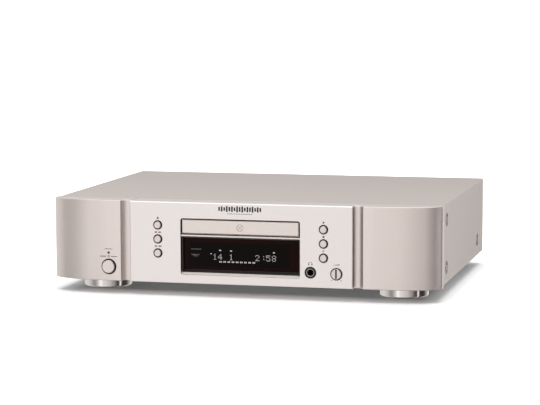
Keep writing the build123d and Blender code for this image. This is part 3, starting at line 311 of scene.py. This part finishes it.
def build_materials():
    made = {}
    made["plate_aluminium"] = brushed("plate_aluminium", CHAMPAGNE, 0.32, (30, 2500, 2500), streak=0.025,
                                      depth=0.0000015, Metallic=0.9)
    made["tray_aluminium"] = brushed("tray_aluminium", srgb(224, 214, 208), 0.34, (30, 2500, 2500),
                                     Metallic=0.9)
    made["champagne_paint"] = metallic_paint("champagne_paint", PAINT, 0.36, Metallic=0.85)
    # frame_paint is the champagne paint made lighter: painted light on the channel floor beside the plate,
    # which lies in shade
    made["frame_paint"] = metallic_paint("frame_paint", shade(PAINT, 1.14), 0.6, Metallic=0.55)
    # painted light: this paint is made lighter towards the front and darker towards the back
    made["cover_paint"] = metallic_paint("cover_paint", COVER, 0.42, flake=1900.0, depth=0.00001,
                                         painted_light_drift=0.08, Metallic=0.85)
    made["button_metal"] = turned("button_metal", srgb(222, 210, 205), 0.32, "Y", depth=0.000002,
                                  Metallic=0.95)
    made["black_plastic"] = moulded("black_plastic", srgb(30, 28, 28), 0.42)
    made["smoked_lens"] = smoked_lens()
    made["display_glass"] = moulded("display_glass", srgb(60, 70, 72), 0.12, Transmission_Weight=0.3)
    made["lamp_lens"] = moulded("lamp_lens", srgb(70, 22, 18), 0.2, Coat_Weight=0.5)
    made["foot_metal"] = brushed("foot_metal", srgb(226, 220, 216), 0.14, (700, 700, 25), streak=0.03,
                                 Metallic=1.0)
    made["pad_felt"] = moulded("pad_felt", srgb(38, 37, 36), 0.85, grain=500.0, depth=0.00008)
    made["zinc_steel"] = brushed("zinc_steel", srgb(188, 190, 192), 0.38, (60, 900, 900), Metallic=1.0)
    made["rear_paint"] = moulded("rear_paint", srgb(44, 43, 43), 0.5, grain=1100.0, depth=0.00002)
    made["screw_steel"] = turned("screw_steel", srgb(190, 187, 182), 0.3, "Z", rings=12.0, Metallic=1.0)
    made["tray_plastic"] = moulded("tray_plastic", srgb(38, 38, 40), 0.48)
    made["loader_plastic"] = moulded("loader_plastic", srgb(48, 48, 52), 0.55, grain=600.0)
    made["white_plastic"] = moulded("white_plastic", srgb(226, 226, 220), 0.4, Subsurface_Weight=0.1)
    made["belt_rubber"] = moulded("belt_rubber", srgb(24, 24, 24), 0.7)
    made["motor_steel"] = brushed("motor_steel", srgb(200, 200, 198), 0.3, (40, 40, 1200), Metallic=1.0)
    made["cast_grey"] = moulded("cast_grey", srgb(128, 130, 134), 0.5, grain=380.0, depth=0.00004,
                                Metallic=0.8)
    made["lens_glass"] = moulded("lens_glass", srgb(110, 90, 170), 0.05, Transmission_Weight=0.6,
                                 Coat_Weight=0.6)
    made["contact_gold"] = turned("contact_gold", srgb(232, 200, 128), 0.22, "Y", Metallic=1.0)
    made["dark_chrome"] = turned("dark_chrome", srgb(58, 54, 52), 0.18, "Y", rings=20.0, Metallic=1.0)
    made["nickel"] = turned("nickel", srgb(212, 208, 204), 0.2, "Y", rings=20.0, Metallic=1.0)
    made["lamination"] = brushed("lamination", srgb(92, 88, 84), 0.5, (20, 3000, 20), streak=0.25,
                                 Metallic=0.7)
    made["winding_tape"] = moulded("winding_tape", srgb(214, 170, 70), 0.35, grain=200.0)
    made["board_green"] = circuit_board("board_green", srgb(34, 92, 52), srgb(200, 170, 110), (180, 400, 1))
    made["board_paper"] = circuit_board("board_paper", srgb(176, 142, 92), srgb(196, 190, 178),
                                        (160, 340, 340))
    made["can_black"] = moulded("can_black", srgb(34, 36, 52), 0.3)
    made["heatsink_black"] = brushed("heatsink_black", srgb(48, 48, 50), 0.4, (900, 900, 30), Metallic=0.8)
    made["package_black"] = moulded("package_black", srgb(34, 34, 35), 0.5)
    made["ribbon_white"] = brushed("ribbon_white", srgb(228, 226, 218), 0.45, (900, 20, 20), streak=0.1)
    return {slot: surface.material for slot, surface in made.items()}


MATERIALS = build_materials()


def dress_nodes():
    """Give every CAD node its procedural material."""
    for part in frame["record"]["subparts"]:
        node = frame["nodes"][part["node"]]
        material = MATERIALS[part["material_slot"]]
        if node.material_slots:
            for index in range(len(node.material_slots)):
                node.material_slots[index].material = material
        else:
            node.data.materials.append(material)


dress_nodes()


# ---------------------------------------------------------------- detail pieces
def add_piece(name, mesh, material, body):
    """A new visible piece that moves with the named body."""
    piece = bpy.data.objects.new(name, mesh)
    bpy.context.scene.collection.objects.link(piece)
    mesh.materials.append(material)
    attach(piece, body)


def flat_marks(outlines, y, thickness=0.04 * MM):
    """Thin raised shapes on a face that looks along -Y: each outline is a list of (x, z) points."""
    work = bmesh.new()
    for outline in outlines:
        front = [work.verts.new((x, y - thickness, z)) for x, z in outline]
        back = [work.verts.new((x, y + 0.01 * MM, z)) for x, z in outline]
        work.faces.new(front)
        work.faces.new(list(reversed(back)))
        for index in range(len(outline)):
            after = (index + 1) % len(outline)
            work.faces.new((front[after], front[index], back[index], back[after]))
    bmesh.ops.recalc_face_normals(work, faces=work.faces[:])
    mesh = bpy.data.meshes.new("marks")
    work.to_mesh(mesh)
    work.free()
    return mesh


def rectangle(x, z, width, height):
    """An upright rectangle about (x, z)."""
    return [(x - width / 2, z - height / 2), (x + width / 2, z - height / 2),
            (x + width / 2, z + height / 2), (x - width / 2, z + height / 2)]


def triangle(x, z, size, heading):
    """A triangle that points along heading, in degrees from +X towards +Z."""
    turn = math.radians(heading)
    reach = size * 0.58
    return [(x + reach * math.cos(turn + step * 2 * math.pi / 3),
             z + reach * math.sin(turn + step * 2 * math.pi / 3)) for step in range(3)]


def ring_pieces(x, z, outer, inner, steps=40, start=0.0, stop=360.0):
    """A ring, or part of one, as a run of short quads."""
    pieces = []
    for step in range(steps):
        first = math.radians(start + (stop - start) * step / steps)
        last = math.radians(start + (stop - start) * (step + 1) / steps)
        pieces.append([(x + inner * math.cos(first), z + inner * math.sin(first)),
                       (x + outer * math.cos(first), z + outer * math.sin(first)),
                       (x + outer * math.cos(last), z + outer * math.sin(last)),
                       (x + inner * math.cos(last), z + inner * math.sin(last))])
    return pieces


# ink for the printed marks, and also painted shade on the floor of the knob's groove
PRINT_AND_GROOVE_SHADE = moulded("print_ink_and_groove_shade", srgb(34, 31, 30), 0.55, grain=1500.0, depth=0.000002).material
# near-black painted shade, laid on pieces set into the gaps round the caps, the knob and the tray
PAINTED_GAP_SHADE = moulded("painted_gap_shade", srgb(14, 12, 11), 0.8, grain=1500.0, depth=0.00001).material


def transport_marks():
    """Generic transport symbols over the six buttons."""
    size = 2.4 * MM
    rise = 7.6 * MM
    left = [centre(f"{name}_button") for name in LEFT_BUTTONS]
    right = [centre(f"{name}_button") for name in RIGHT_BUTTONS]
    shapes = []
    x, z = left[0].x, left[0].z + rise
    shapes.append(triangle(x, z + 0.4 * MM, size * 1.1, 90))
    shapes.append(rectangle(x, z - 0.85 * MM, size, 0.45 * MM))
    for place, heading in ((left[1], 180), (left[2], 0)):
        z = place.z + rise
        lean = -1 if heading == 180 else 1
        for group in (-2.3, 2.3):
            for step in (-0.65, 0.65):
                shapes.append(triangle(place.x + (group + step) * MM, z, size * 0.85, heading))
        shapes.append(rectangle(place.x + (2.3 + lean * 1.7) * MM, z, 0.35 * MM, size * 0.7))
    shapes.append(triangle(right[0].x, right[0].z + rise, size * 1.1, 0))
    shapes.append(rectangle(right[1].x, right[1].z + rise, size * 0.85, size * 0.85))
    for side in (-1, 1):
        shapes.append(rectangle(right[2].x + side * 0.55 * MM, right[2].z + rise, 0.6 * MM, size * 0.8))
    add_piece("transport_symbols", flat_marks(shapes, FRONT), PRINT_AND_GROOVE_SHADE, "root")


def level_marks():
    """Minus and plus at the ends of the level knob's turn, and a rising wedge over it."""
    x, z = KNOB.x, KNOB.z
    shapes = [rectangle(x - 5.2 * MM, z - 7.0 * MM, 1.6 * MM, 0.45 * MM),
              rectangle(x + 5.2 * MM, z - 7.0 * MM, 1.6 * MM, 0.45 * MM),
              rectangle(x + 5.2 * MM, z - 7.0 * MM, 0.45 * MM, 1.6 * MM)]
    for step in range(6):
        height = (0.5 + 0.28 * step) * MM
        shapes.append(rectangle(x + (step - 2.5) * 1.15 * MM, z + 9.4 * MM + height / 2, 0.6 * MM, height))
    add_piece("level_scale", flat_marks(shapes, FRONT), PRINT_AND_GROOVE_SHADE, "root")


def headphone_mark():
    """A small pair of headphones over the socket."""
    x, z = JACK.x, JACK.z + 9.6 * MM
    shapes = ring_pieces(x, z, 2.1 * MM, 1.7 * MM, steps=16, start=0, stop=180)
    for side in (-1, 1):
        shapes.append(rectangle(x + side * 1.75 * MM, z - 0.6 * MM, 1.1 * MM, 1.6 * MM))
    add_piece("headphone_symbol", flat_marks(shapes, FRONT), PRINT_AND_GROOVE_SHADE, "root")


def power_mark():
    """An open ring with a bar between the power button and its lamp, with dashes on each side of
    it and over the lamp."""
    x = POWER.x
    z = (POWER.z + LAMP.z) / 2 + 3.6 * MM
    shapes = ring_pieces(x, z, 1.25 * MM, 0.9 * MM, steps=24, start=120, stop=420)
    shapes.append(rectangle(x, z + 0.9 * MM, 0.4 * MM, 1.3 * MM))
    for side in (-1, 1):
        for step in range(5):
            shapes.append(rectangle(x + side * (3.6 + step * 1.5) * MM, z, 1.15 * MM, 0.75 * MM))
    for step in range(6):
        shapes.append(rectangle(x + (step - 2.5) * 1.5 * MM, LAMP.z + 4.2 * MM, 1.1 * MM, 0.6 * MM))
    add_piece("power_symbol", flat_marks(shapes, WING_FACE), PRINT_AND_GROOVE_SHADE, "root")


def plate_emblem():
    """A plain ornament over the tray: a run of upright bars like a sound wave, and small dashes."""
    heights = (4.2, 5.6, 3.8, 6.4, 4.8, 5.8, 4.0, 6.6, 5.2, 6.6, 4.0, 5.8, 4.8, 6.4, 3.8, 5.6, 4.2)
    middle = (PLATE_LOW.x + PLATE_HIGH.x) / 2
    base = TRAY_HIGH.z + 12.6 * MM
    shapes = [rectangle(middle + (index - 8) * 2.9 * MM, base, 1.9 * MM, height * MM)
              for index, height in enumerate(heights)]
    for index in range(15):
        shapes.append(rectangle(middle + (index - 7) * 1.9 * MM, base - 5.2 * MM, 1.2 * MM, 0.7 * MM))
    add_piece("plate_emblem", flat_marks(shapes, FRONT), PRINT_AND_GROOVE_SHADE, "root")


def tray_symbol():
    """Plain disc symbol on the tray front."""
    x = (TRAY_LOW.x + TRAY_HIGH.x) / 2
    z = (TRAY_LOW.z + TRAY_HIGH.z) / 2
    shapes = ring_pieces(x, z, 3.9 * MM, 3.4 * MM) + ring_pieces(x, z, 1.3 * MM, 0.8 * MM)
    for start in (20, 110, 200, 290):
        shapes += ring_pieces(x, z, 2.9 * MM, 2.5 * MM, steps=8, start=start, stop=start + 50)
    ink = moulded("tray_print", srgb(142, 134, 130), 0.5, grain=1500.0, depth=0.000002).material
    add_piece("tray_disc_symbol", flat_marks(shapes, TRAY_LOW.y), ink, "disc_tray")


def washer(x, y, z, outer, inner, thickness, turns=48):
    """A flat ring that looks along -Y, with its front face at y."""
    work = bmesh.new()
    rings = []
    for radius, depth in ((inner, 0.0), (outer, 0.0), (outer, thickness), (inner, thickness)):
        rings.append([work.verts.new((x + radius * math.cos(2 * math.pi * t / turns), y + depth,
                                      z + radius * math.sin(2 * math.pi * t / turns)))
                      for t in range(turns)])
    for first, second in zip(rings, rings[1:] + rings[:1]):
        for t in range(turns):
            after = (t + 1) % turns
            work.faces.new((first[t], second[t], second[after], first[after]))
    bmesh.ops.recalc_face_normals(work, faces=work.faces[:])
    mesh = bpy.data.meshes.new("washer")
    work.to_mesh(mesh)
    work.free()
    return mesh


def join_meshes(name, meshes):
    work = bmesh.new()
    for mesh in meshes:
        work.from_mesh(mesh)
    joined = bpy.data.meshes.new(name)
    work.to_mesh(joined)
    work.free()
    return joined


def gap_shade_rings():
    """Black rings that close the gap round each button and the knob, just inside the hole: painted shade,
    so that the gap reads dark.
    """
    thick = 0.5 * MM
    rings = []
    for name in LEFT_BUTTONS + RIGHT_BUTTONS:
        place = centre(f"{name}_button")
        rings.append(washer(place.x, FRONT + 0.9 * MM, place.z, BUTTON_HOLE, BUTTON_CAP + CLEAR, thick))
    rings.append(washer(KNOB.x, FRONT + 1.0 * MM, KNOB.z, KNOB_WELL, KNOB_CAP + CLEAR, thick))
    rings.append(washer(POWER.x, WING_FACE + 1.6 * MM, POWER.z, POWER_HOLE, POWER_CAP + CLEAR, thick))
    add_piece("gap_shade_rings", join_meshes("gap_shade_rings", rings), PAINTED_GAP_SHADE, "root")


def cap_shade_crescents():
    """A thin black sleeve round each cap, behind its rim, a little up and to the right: painted shade for
    the dark crescent that the gap shows above and to the right of the cap.
    """
    caps = [(f"{name}_button", centre(f"{name}_button"), FRONT, BUTTON_CAP, 0.3 * MM)
            for name in LEFT_BUTTONS + RIGHT_BUTTONS]
    caps.append(("power_button", POWER, WING_FACE, POWER_CAP, 0.4 * MM))
    proud = 0.3 * MM
    for body, place, face, radius, wider in caps:
        shade_sleeve = washer(place.x + wider * 0.8, face - proud, place.z + wider * 0.4, radius + wider,
                        radius - wider, proud)
        add_piece(f"{body}_shade_crescent", shade_sleeve, PAINTED_GAP_SHADE, body)


def knob_groove_shade():
    """Painted shade on the floor of the groove across the knob's face."""
    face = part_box("level_knob")[0].y
    half_width = 0.85 * MM
    half_height = KNOB_CAP - 0.9 * MM
    low = Vector((KNOB.x - half_width, face + 1.0 * MM, KNOB.z - half_height))
    high = Vector((KNOB.x + half_width, face + 2.19 * MM, KNOB.z + half_height))
    add_piece("knob_groove_shade", strips("knob_groove_shade", [(low, high)]), PRINT_AND_GROOVE_SHADE, "level_knob")


def funnel(x, z, outer, inner, near, far, turns=48):
    """A bright cone ring that leads into a round socket: wide at near, narrow at far."""
    work = bmesh.new()
    rings = []
    for radius, depth in ((outer, near), (inner, far), (inner + 0.1 * MM, far), (outer, near + 0.15 * MM)):
        rings.append([work.verts.new((x + radius * math.cos(2 * math.pi * t / turns), depth,
                                      z + radius * math.sin(2 * math.pi * t / turns)))
                      for t in range(turns)])
    for first, second in zip(rings, rings[1:] + rings[:1]):
        for t in range(turns):
            after = (t + 1) % turns
            face = work.faces.new((first[t], second[t], second[after], first[after]))
            face.smooth = True
    bmesh.ops.recalc_face_normals(work, faces=work.faces[:])
    mesh = bpy.data.meshes.new("funnel")
    work.to_mesh(mesh)
    work.free()
    return mesh


def jack_mouth():
    """A bright ring inside the dark nut of the headphone socket."""
    ring = funnel(JACK.x, JACK.z, 4.3 * MM, 3.3 * MM, FRONT - 0.62 * MM, FRONT + 0.35 * MM)
    add_piece("jack_mouth", ring, MATERIALS["nickel"], "root")


def rectangular_band(low, high, thickness, outside):
    """A thin band round a box's four sides that face across or up, from low.y to high.y."""
    grow = thickness if outside else -thickness
    work = bmesh.new()
    loops = []
    for y, spread in ((low.y, 0.0), (low.y, grow), (high.y, grow), (high.y, 0.0)):
        loops.append([work.verts.new((x, y, z)) for x, z in (
            (low.x - spread, low.z - spread), (high.x + spread, low.z - spread),
            (high.x + spread, high.z + spread), (low.x - spread, high.z + spread))])
    for first, second in zip(loops, loops[1:] + loops[:1]):
        for corner in range(4):
            after = (corner + 1) % 4
            work.faces.new((first[corner], second[corner], second[after], first[after]))
    bmesh.ops.recalc_face_normals(work, faces=work.faces[:])
    mesh = bpy.data.meshes.new("band")
    work.to_mesh(mesh)
    work.free()
    return mesh


def strips(name, spans):
    """Thin boxes, each from its low corner to its high corner, as one mesh."""
    work = bmesh.new()
    for low, high in spans:
        made = bmesh.ops.create_cube(work, size=1.0)["verts"]
        bmesh.ops.scale(work, vec=high - low, verts=made)
        bmesh.ops.translate(work, vec=(low + high) / 2, verts=made)
    mesh = bpy.data.meshes.new(name)
    work.to_mesh(mesh)
    work.free()
    return mesh


def window_gap_shade():
    """Black sheets on the window's side and top walls and round the edges of the tray front, behind their
    bright chamfers: painted shade, so that the gap round the tray reads dark."""
    shade_sheet = 0.2 * MM
    low = Vector((TRAY_LOW.x - TRAY_GAP, FRONT + 0.7 * MM, LENS_LOW.z - 1.0 * MM))
    high = Vector((TRAY_HIGH.x + TRAY_GAP, FRONT + 6.8 * MM, TRAY_HIGH.z + TRAY_GAP))
    walls = [(low, Vector((low.x + shade_sheet, high.y, high.z))),
             (Vector((high.x - shade_sheet, low.y, low.z)), high),
             (Vector((low.x + shade_sheet, low.y, high.z - shade_sheet)), Vector((high.x - shade_sheet, high.y, high.z)))]
    add_piece("window_gap_shade", strips("window_gap_shade", walls), PAINTED_GAP_SHADE, "root")
    low = Vector((TRAY_LOW.x, TRAY_LOW.y + 1.4 * MM, TRAY_LOW.z))
    band = rectangular_band(low, TRAY_HIGH, 0.12 * MM, outside=True)
    add_piece("tray_edge_shade", band, PAINTED_GAP_SHADE, "disc_tray")


def plate_edge_shade():
    """Brownish painted shade down the plate's right edge, behind its chamfer, where the gap beside the
    plate lies in shade.
    """
    short = 2 * MM
    low = Vector((PLATE_HIGH.x, FRONT + 1.0 * MM, PLATE_LOW.z + short))
    high = Vector((PLATE_HIGH.x + 0.16 * MM, FRONT + 6.8 * MM, PLATE_HIGH.z - short))
    edge_shade_material = moulded("painted_edge_shade", srgb(122, 112, 106), 0.7, grain=1500.0, depth=0.00001).material
    add_piece("plate_edge_shade", strips("plate_edge_shade", [(low, high)]), edge_shade_material, "root")


transport_marks()
level_marks()
headphone_mark()
power_mark()
plate_emblem()
tray_symbol()
gap_shade_rings()
cap_shade_crescents()
knob_groove_shade()
jack_mouth()
window_gap_shade()
plate_edge_shade()


# ---------------------------------------------------------------- display figures
# width of a dot as a share of the pitch, and the dots of each figure from the top row down
DOT_SHARE = 0.72
DOT_ROWS = {
    "1": "00100 01100 00100 00100 00100 00100 01110",
    "2": "01110 10001 00001 00010 00100 01000 11111",
    "4": "00010 00110 01010 10010 11111 00010 00010",
    "5": "11111 10000 11110 00001 00001 10001 01110",
    "8": "01110 10001 10001 01110 10001 10001 01110",
}


def dot_figure(character, x, z, pitch):
    """A five by seven dot figure with its left bottom corner at (x, z)."""
    dots = []
    for row, line in enumerate(DOT_ROWS[character].split()):
        for column, lit in enumerate(line):
            if lit == "1":
                dots.append(rectangle(x + column * pitch, z + (6 - row) * pitch,
                                      pitch * DOT_SHARE, pitch * DOT_SHARE))
    return dots


def glow(name, colour, strength):
    """A lit coating behind a fine wire grid."""
    made = Surface(name, Roughness=0.4)
    grid = made.wave(900.0, direction="X")
    made.colour(made.blend(grid, shade(colour, 0.6), colour))
    made.link(made.blend(grid, shade(colour, 0.8), colour), made.shader.inputs["Emission Color"])
    made.shader.inputs["Emission Strength"].default_value = strength
    return made.material


def display_figures():
    """Track, index and time in dots, a row of small track marks and two faint blocks."""
    left, bottom = LENS_LOW.x, LENS_LOW.z
    width = LENS_HIGH.x - LENS_LOW.x
    height = LENS_HIGH.z - LENS_LOW.z
    y = LENS_LOW.y - 0.02 * MM
    pitch = 0.96 * MM

    def at(u, v):
        return left + u * width, bottom + v * height

    figures = []
    for character, u in (("1", 0.255), ("4", 0.300), ("1", 0.396), ("2", 0.622), ("5", 0.715),
                         ("8", 0.765)):
        figures += dot_figure(character, *at(u, 0.325), pitch)
    for v in (0.38, 0.46):
        figures.append(rectangle(*at(0.692, v), pitch * 0.8, pitch * 0.8))
    add_piece("display_figures", flat_marks(figures, y), glow("figure_glow", srgb(196, 192, 190), 0.24),
              "root")
    bright = [rectangle(*at(u, v), 2.2 * MM, 1.2 * MM)
              for u, v in ((0.315, 0.615), (0.41, 0.605), (0.78, 0.59))]
    bright.append(rectangle(*at(0.236, 0.50), 1.4 * MM, 1.0 * MM))
    for pair in range(9):
        for side in (-0.55, 0.55):
            x, z = at(0.318 + pair * 0.0360, 0.255)
            bright.append(rectangle(x + side * 1.5 * MM, z, 1.15 * MM, 1.6 * MM))
    add_piece("display_track_marks", flat_marks(bright, y), glow("mark_glow", srgb(196, 190, 188), 0.36),
              "root")
    faint = []
    for u, v, count in ((0.105, 0.635, 9), (0.10, 0.465, 7), (0.10, 0.42, 4)):
        for step in range(count):
            x, z = at(u, v)
            faint.append(rectangle(x + (step - (count - 1) / 2) * 1.35 * MM, z, 0.95 * MM, 0.75 * MM))
    add_piece("display_side_marks", flat_marks(faint, y), glow("faint_glow", srgb(120, 106, 102), 0.22),
              "root")


display_figures()


# ---------------------------------------------------------------- studio
# half size of the area under the case where the floor does not glow and shows full shadow, and how far this
# painted shadow fades beyond it
SHADOW_HALF = (0.192, 0.132, 10.0)
SHADOW_FADE = (0.080, 0.125, 1.0)
FLOOR_DROP = 0.0002


def floor():
    """A wide round floor that glows white beyond a painted shadow: its glow fades out near the case, so the
    soft shadow keeps close to it.
    """
    work = bmesh.new()
    turns = 64
    middle = work.verts.new((0, 0, 0))
    rings = []
    for radius in (1.0, 4.0, 14.0, 30.0):
        rings.append([work.verts.new((radius * math.cos(2 * math.pi * t / turns),
                                      radius * math.sin(2 * math.pi * t / turns), 0))
                      for t in range(turns)])
    for t in range(turns):
        work.faces.new((middle, rings[0][t], rings[0][(t + 1) % turns]))
    for inner, outer in zip(rings, rings[1:]):
        for t in range(turns):
            work.faces.new((inner[t], outer[t], outer[(t + 1) % turns], inner[(t + 1) % turns]))
    mesh = bpy.data.meshes.new("floor")
    work.to_mesh(mesh)
    work.free()
    made = Surface("floor_paper_with_painted_shadow", Roughness=0.9)
    fibre = made.noise(60.0, detail=4.0)
    made.colour(made.blend(fibre, (0.70, 0.70, 0.70, 1), (0.73, 0.73, 0.73, 1)))
    outside = made.node("ShaderNodeVectorMath", operation="ABSOLUTE")
    made.link(made.space, outside.inputs[0])
    beyond = made.node("ShaderNodeVectorMath", operation="SUBTRACT")
    made.link(outside.outputs["Vector"], beyond.inputs[0])
    beyond.inputs[1].default_value = SHADOW_HALF
    kept = made.node("ShaderNodeVectorMath", operation="MAXIMUM")
    made.link(beyond.outputs["Vector"], kept.inputs[0])
    kept.inputs[1].default_value = (0.0, 0.0, 0.0)
    share = made.node("ShaderNodeVectorMath", operation="DIVIDE")
    made.link(kept.outputs["Vector"], share.inputs[0])
    share.inputs[1].default_value = SHADOW_FADE
    reach = made.node("ShaderNodeVectorMath", operation="LENGTH")
    made.link(share.outputs["Vector"], reach.inputs[0])
    # painted shadow: the floor's glow is nil over the case's footprint and rises to full beyond it
    made.shader.inputs["Emission Color"].default_value = (1, 1, 1, 1)
    made.link(made.band(reach.outputs["Value"], 0.0, 1.0), made.shader.inputs["Emission Strength"])
    mesh.materials.append(made.material)
    ground = bpy.data.objects.new("floor", mesh)
    bpy.context.scene.collection.objects.link(ground)
    ground.location.z = cad_box[0][2] - FLOOR_DROP
    ground.visible_glossy = False


def soft_light(name, place, target, size, power):
    """A white panel light that neither the camera nor a reflection sees."""
    data = bpy.data.lights.new(name, "AREA")
    data.shape = "RECTANGLE"
    data.size, data.size_y = size
    data.energy = power
    lamp = bpy.data.objects.new(name, data)
    bpy.context.scene.collection.objects.link(lamp)
    lamp.location = place
    lamp.rotation_euler = (Vector(target) - Vector(place)).to_track_quat("-Z", "Y").to_euler()
    lamp.visible_camera = False
    lamp.visible_glossy = False


# tint of the surroundings on the right, and how dark they are straight below
WARM = (1.0, 0.955, 0.935)
NADIR = (0.03, 0.03, 0.03, 1)


def studio_world(stops, ceiling, horizon_rise, ground_fall, fill):
    """Pale surroundings whose brightness changes with the compass direction, like large panels
    round the set: each stop is (degrees from the front towards +X, brightness). The camera
    itself sees plain white, and matt surfaces get only the stated share as fill. The ceiling's
    brightness and the dark ground fade in between the two heights given for each."""
    world = bpy.data.worlds.new("studio")
    bpy.context.scene.world = world
    world.use_nodes = True
    tree = world.node_tree

    def node(kind, **settings):
        made = tree.nodes.new(kind)
        for key, value in settings.items():
            setattr(made, key, value)
        return made

    coords = node("ShaderNodeTexCoord")
    split = node("ShaderNodeSeparateXYZ")
    flip = node("ShaderNodeMath", operation="MULTIPLY")
    flip.inputs[1].default_value = -1.0
    compass = node("ShaderNodeMath", operation="ARCTAN2")
    turn = node("ShaderNodeMapRange")
    turn.inputs["From Min"].default_value = -math.pi
    turn.inputs["From Max"].default_value = math.pi
    ramp = node("ShaderNodeValToRGB")
    ramp.color_ramp.interpolation = "EASE"
    elements = ramp.color_ramp.elements
    while len(elements) > 1:
        elements.remove(elements[-1])
    for index, (angle, value) in enumerate(stops):
        place = (angle + 180) / 360
        element = elements[0] if index == 0 else elements.new(place)
        element.position = place
        warmth = min(1.0, max(0.0, (angle + 20) / 60)) if abs(angle) < 130 else 0.5
        element.color = tuple(value * (1 - warmth * (1 - channel)) for channel in WARM) + (1,)
    rise = node("ShaderNodeMapRange")
    rise.inputs["From Min"].default_value, rise.inputs["From Max"].default_value = horizon_rise
    overhead = node("ShaderNodeMix", data_type="RGBA")
    overhead.inputs[7].default_value = (ceiling, ceiling, ceiling, 1)
    seen = node("ShaderNodeLightPath")
    matt = node("ShaderNodeMix", data_type="RGBA", blend_type="MULTIPLY")
    matt.inputs[7].default_value = (fill, fill, fill, 1)
    plain = node("ShaderNodeMix", data_type="RGBA")
    plain.inputs[7].default_value = (1, 1, 1, 1)
    link = tree.links.new
    link(coords.outputs["Generated"], split.inputs["Vector"])
    link(split.outputs["Y"], flip.inputs[0])
    link(split.outputs["X"], compass.inputs[0])
    link(flip.outputs[0], compass.inputs[1])
    link(compass.outputs[0], turn.inputs["Value"])
    link(turn.outputs["Result"], ramp.inputs["Fac"])
    below = node("ShaderNodeMapRange")
    below.inputs["From Min"].default_value, below.inputs["From Max"].default_value = ground_fall
    sunk = node("ShaderNodeMix", data_type="RGBA")
    sunk.inputs[7].default_value = NADIR
    link(split.outputs["Z"], rise.inputs["Value"])
    link(rise.outputs["Result"], overhead.inputs["Factor"])
    link(ramp.outputs["Color"], overhead.inputs[6])
    link(split.outputs["Z"], below.inputs["Value"])
    link(below.outputs["Result"], sunk.inputs["Factor"])
    link(overhead.outputs[2], sunk.inputs[6])
    link(seen.outputs["Is Diffuse Ray"], matt.inputs["Factor"])
    link(sunk.outputs[2], matt.inputs[6])
    link(seen.outputs["Is Camera Ray"], plain.inputs["Factor"])
    link(matt.outputs[2], plain.inputs[6])
    link(plain.outputs[2], tree.nodes["Background"].inputs["Color"])


floor()
studio_world([(-180, 0.56), (-160, 0.62), (-135, 0.80), (-100, 0.86), (-75, 0.66), (-60, 0.38),
              (-50, 0.36), (-38, 0.57), (-28, 0.96), (-19, 1.34), (-10, 0.95), (4, 0.86),
              (20, 0.72), (45, 0.40), (62, 0.08), (73, 0.04), (76, 1.4), (81, 1.4), (84, 0.03),
              (115, 0.06), (140, 0.50), (165, 1.10), (180, 0.56)],
             ceiling=1.9, horizon_rise=(0.7, 0.95), ground_fall=(-0.75, -0.95), fill=0.33)
soft_light("key_from_above", (0.0, 0.12, 2.2), (0, 0.05, 0), (2.3, 1.9), 62)


# ---------------------------------------------------------------- camera
# angles in degrees, distance in metres, lens in millimetres; the aim is set from the frame's origin
CAMERA_AZIMUTH = 14.2
CAMERA_ELEVATION = 6.39
CAMERA_DISTANCE = 2.377
CAMERA_ROLL = -0.15
CAMERA_LENS = 135.3
AIM_LEFT = 8.9 * MM
AIM_BEHIND = 0.0 * MM
AIM_HEIGHT = 86.4 * MM


def camera():
    """A long lens from the right of the front and a little above it."""
    data = bpy.data.cameras.new("camera")
    data.lens = CAMERA_LENS
    data.sensor_width = 36.0
    data.clip_end = 100
    view = bpy.data.objects.new("camera", data)
    bpy.context.scene.collection.objects.link(view)
    azimuth, elevation = math.radians(CAMERA_AZIMUTH), math.radians(CAMERA_ELEVATION)
    back = Vector((math.sin(azimuth) * math.cos(elevation), -math.cos(azimuth) * math.cos(elevation),
                   math.sin(elevation)))
    aim = Vector((-AIM_LEFT, AIM_BEHIND, AIM_HEIGHT))
    view.location = aim + back * CAMERA_DISTANCE
    facing = (-back).to_track_quat("-Z", "Y").to_matrix().to_4x4()
    roll = Matrix.Rotation(math.radians(CAMERA_ROLL), 4, "Z")
    view.matrix_world = Matrix.Translation(view.location) @ facing @ roll
    bpy.context.scene.camera = view


camera()
scene = bpy.context.scene
scene.view_settings.view_transform = "Standard"
scene.view_settings.look = "None"
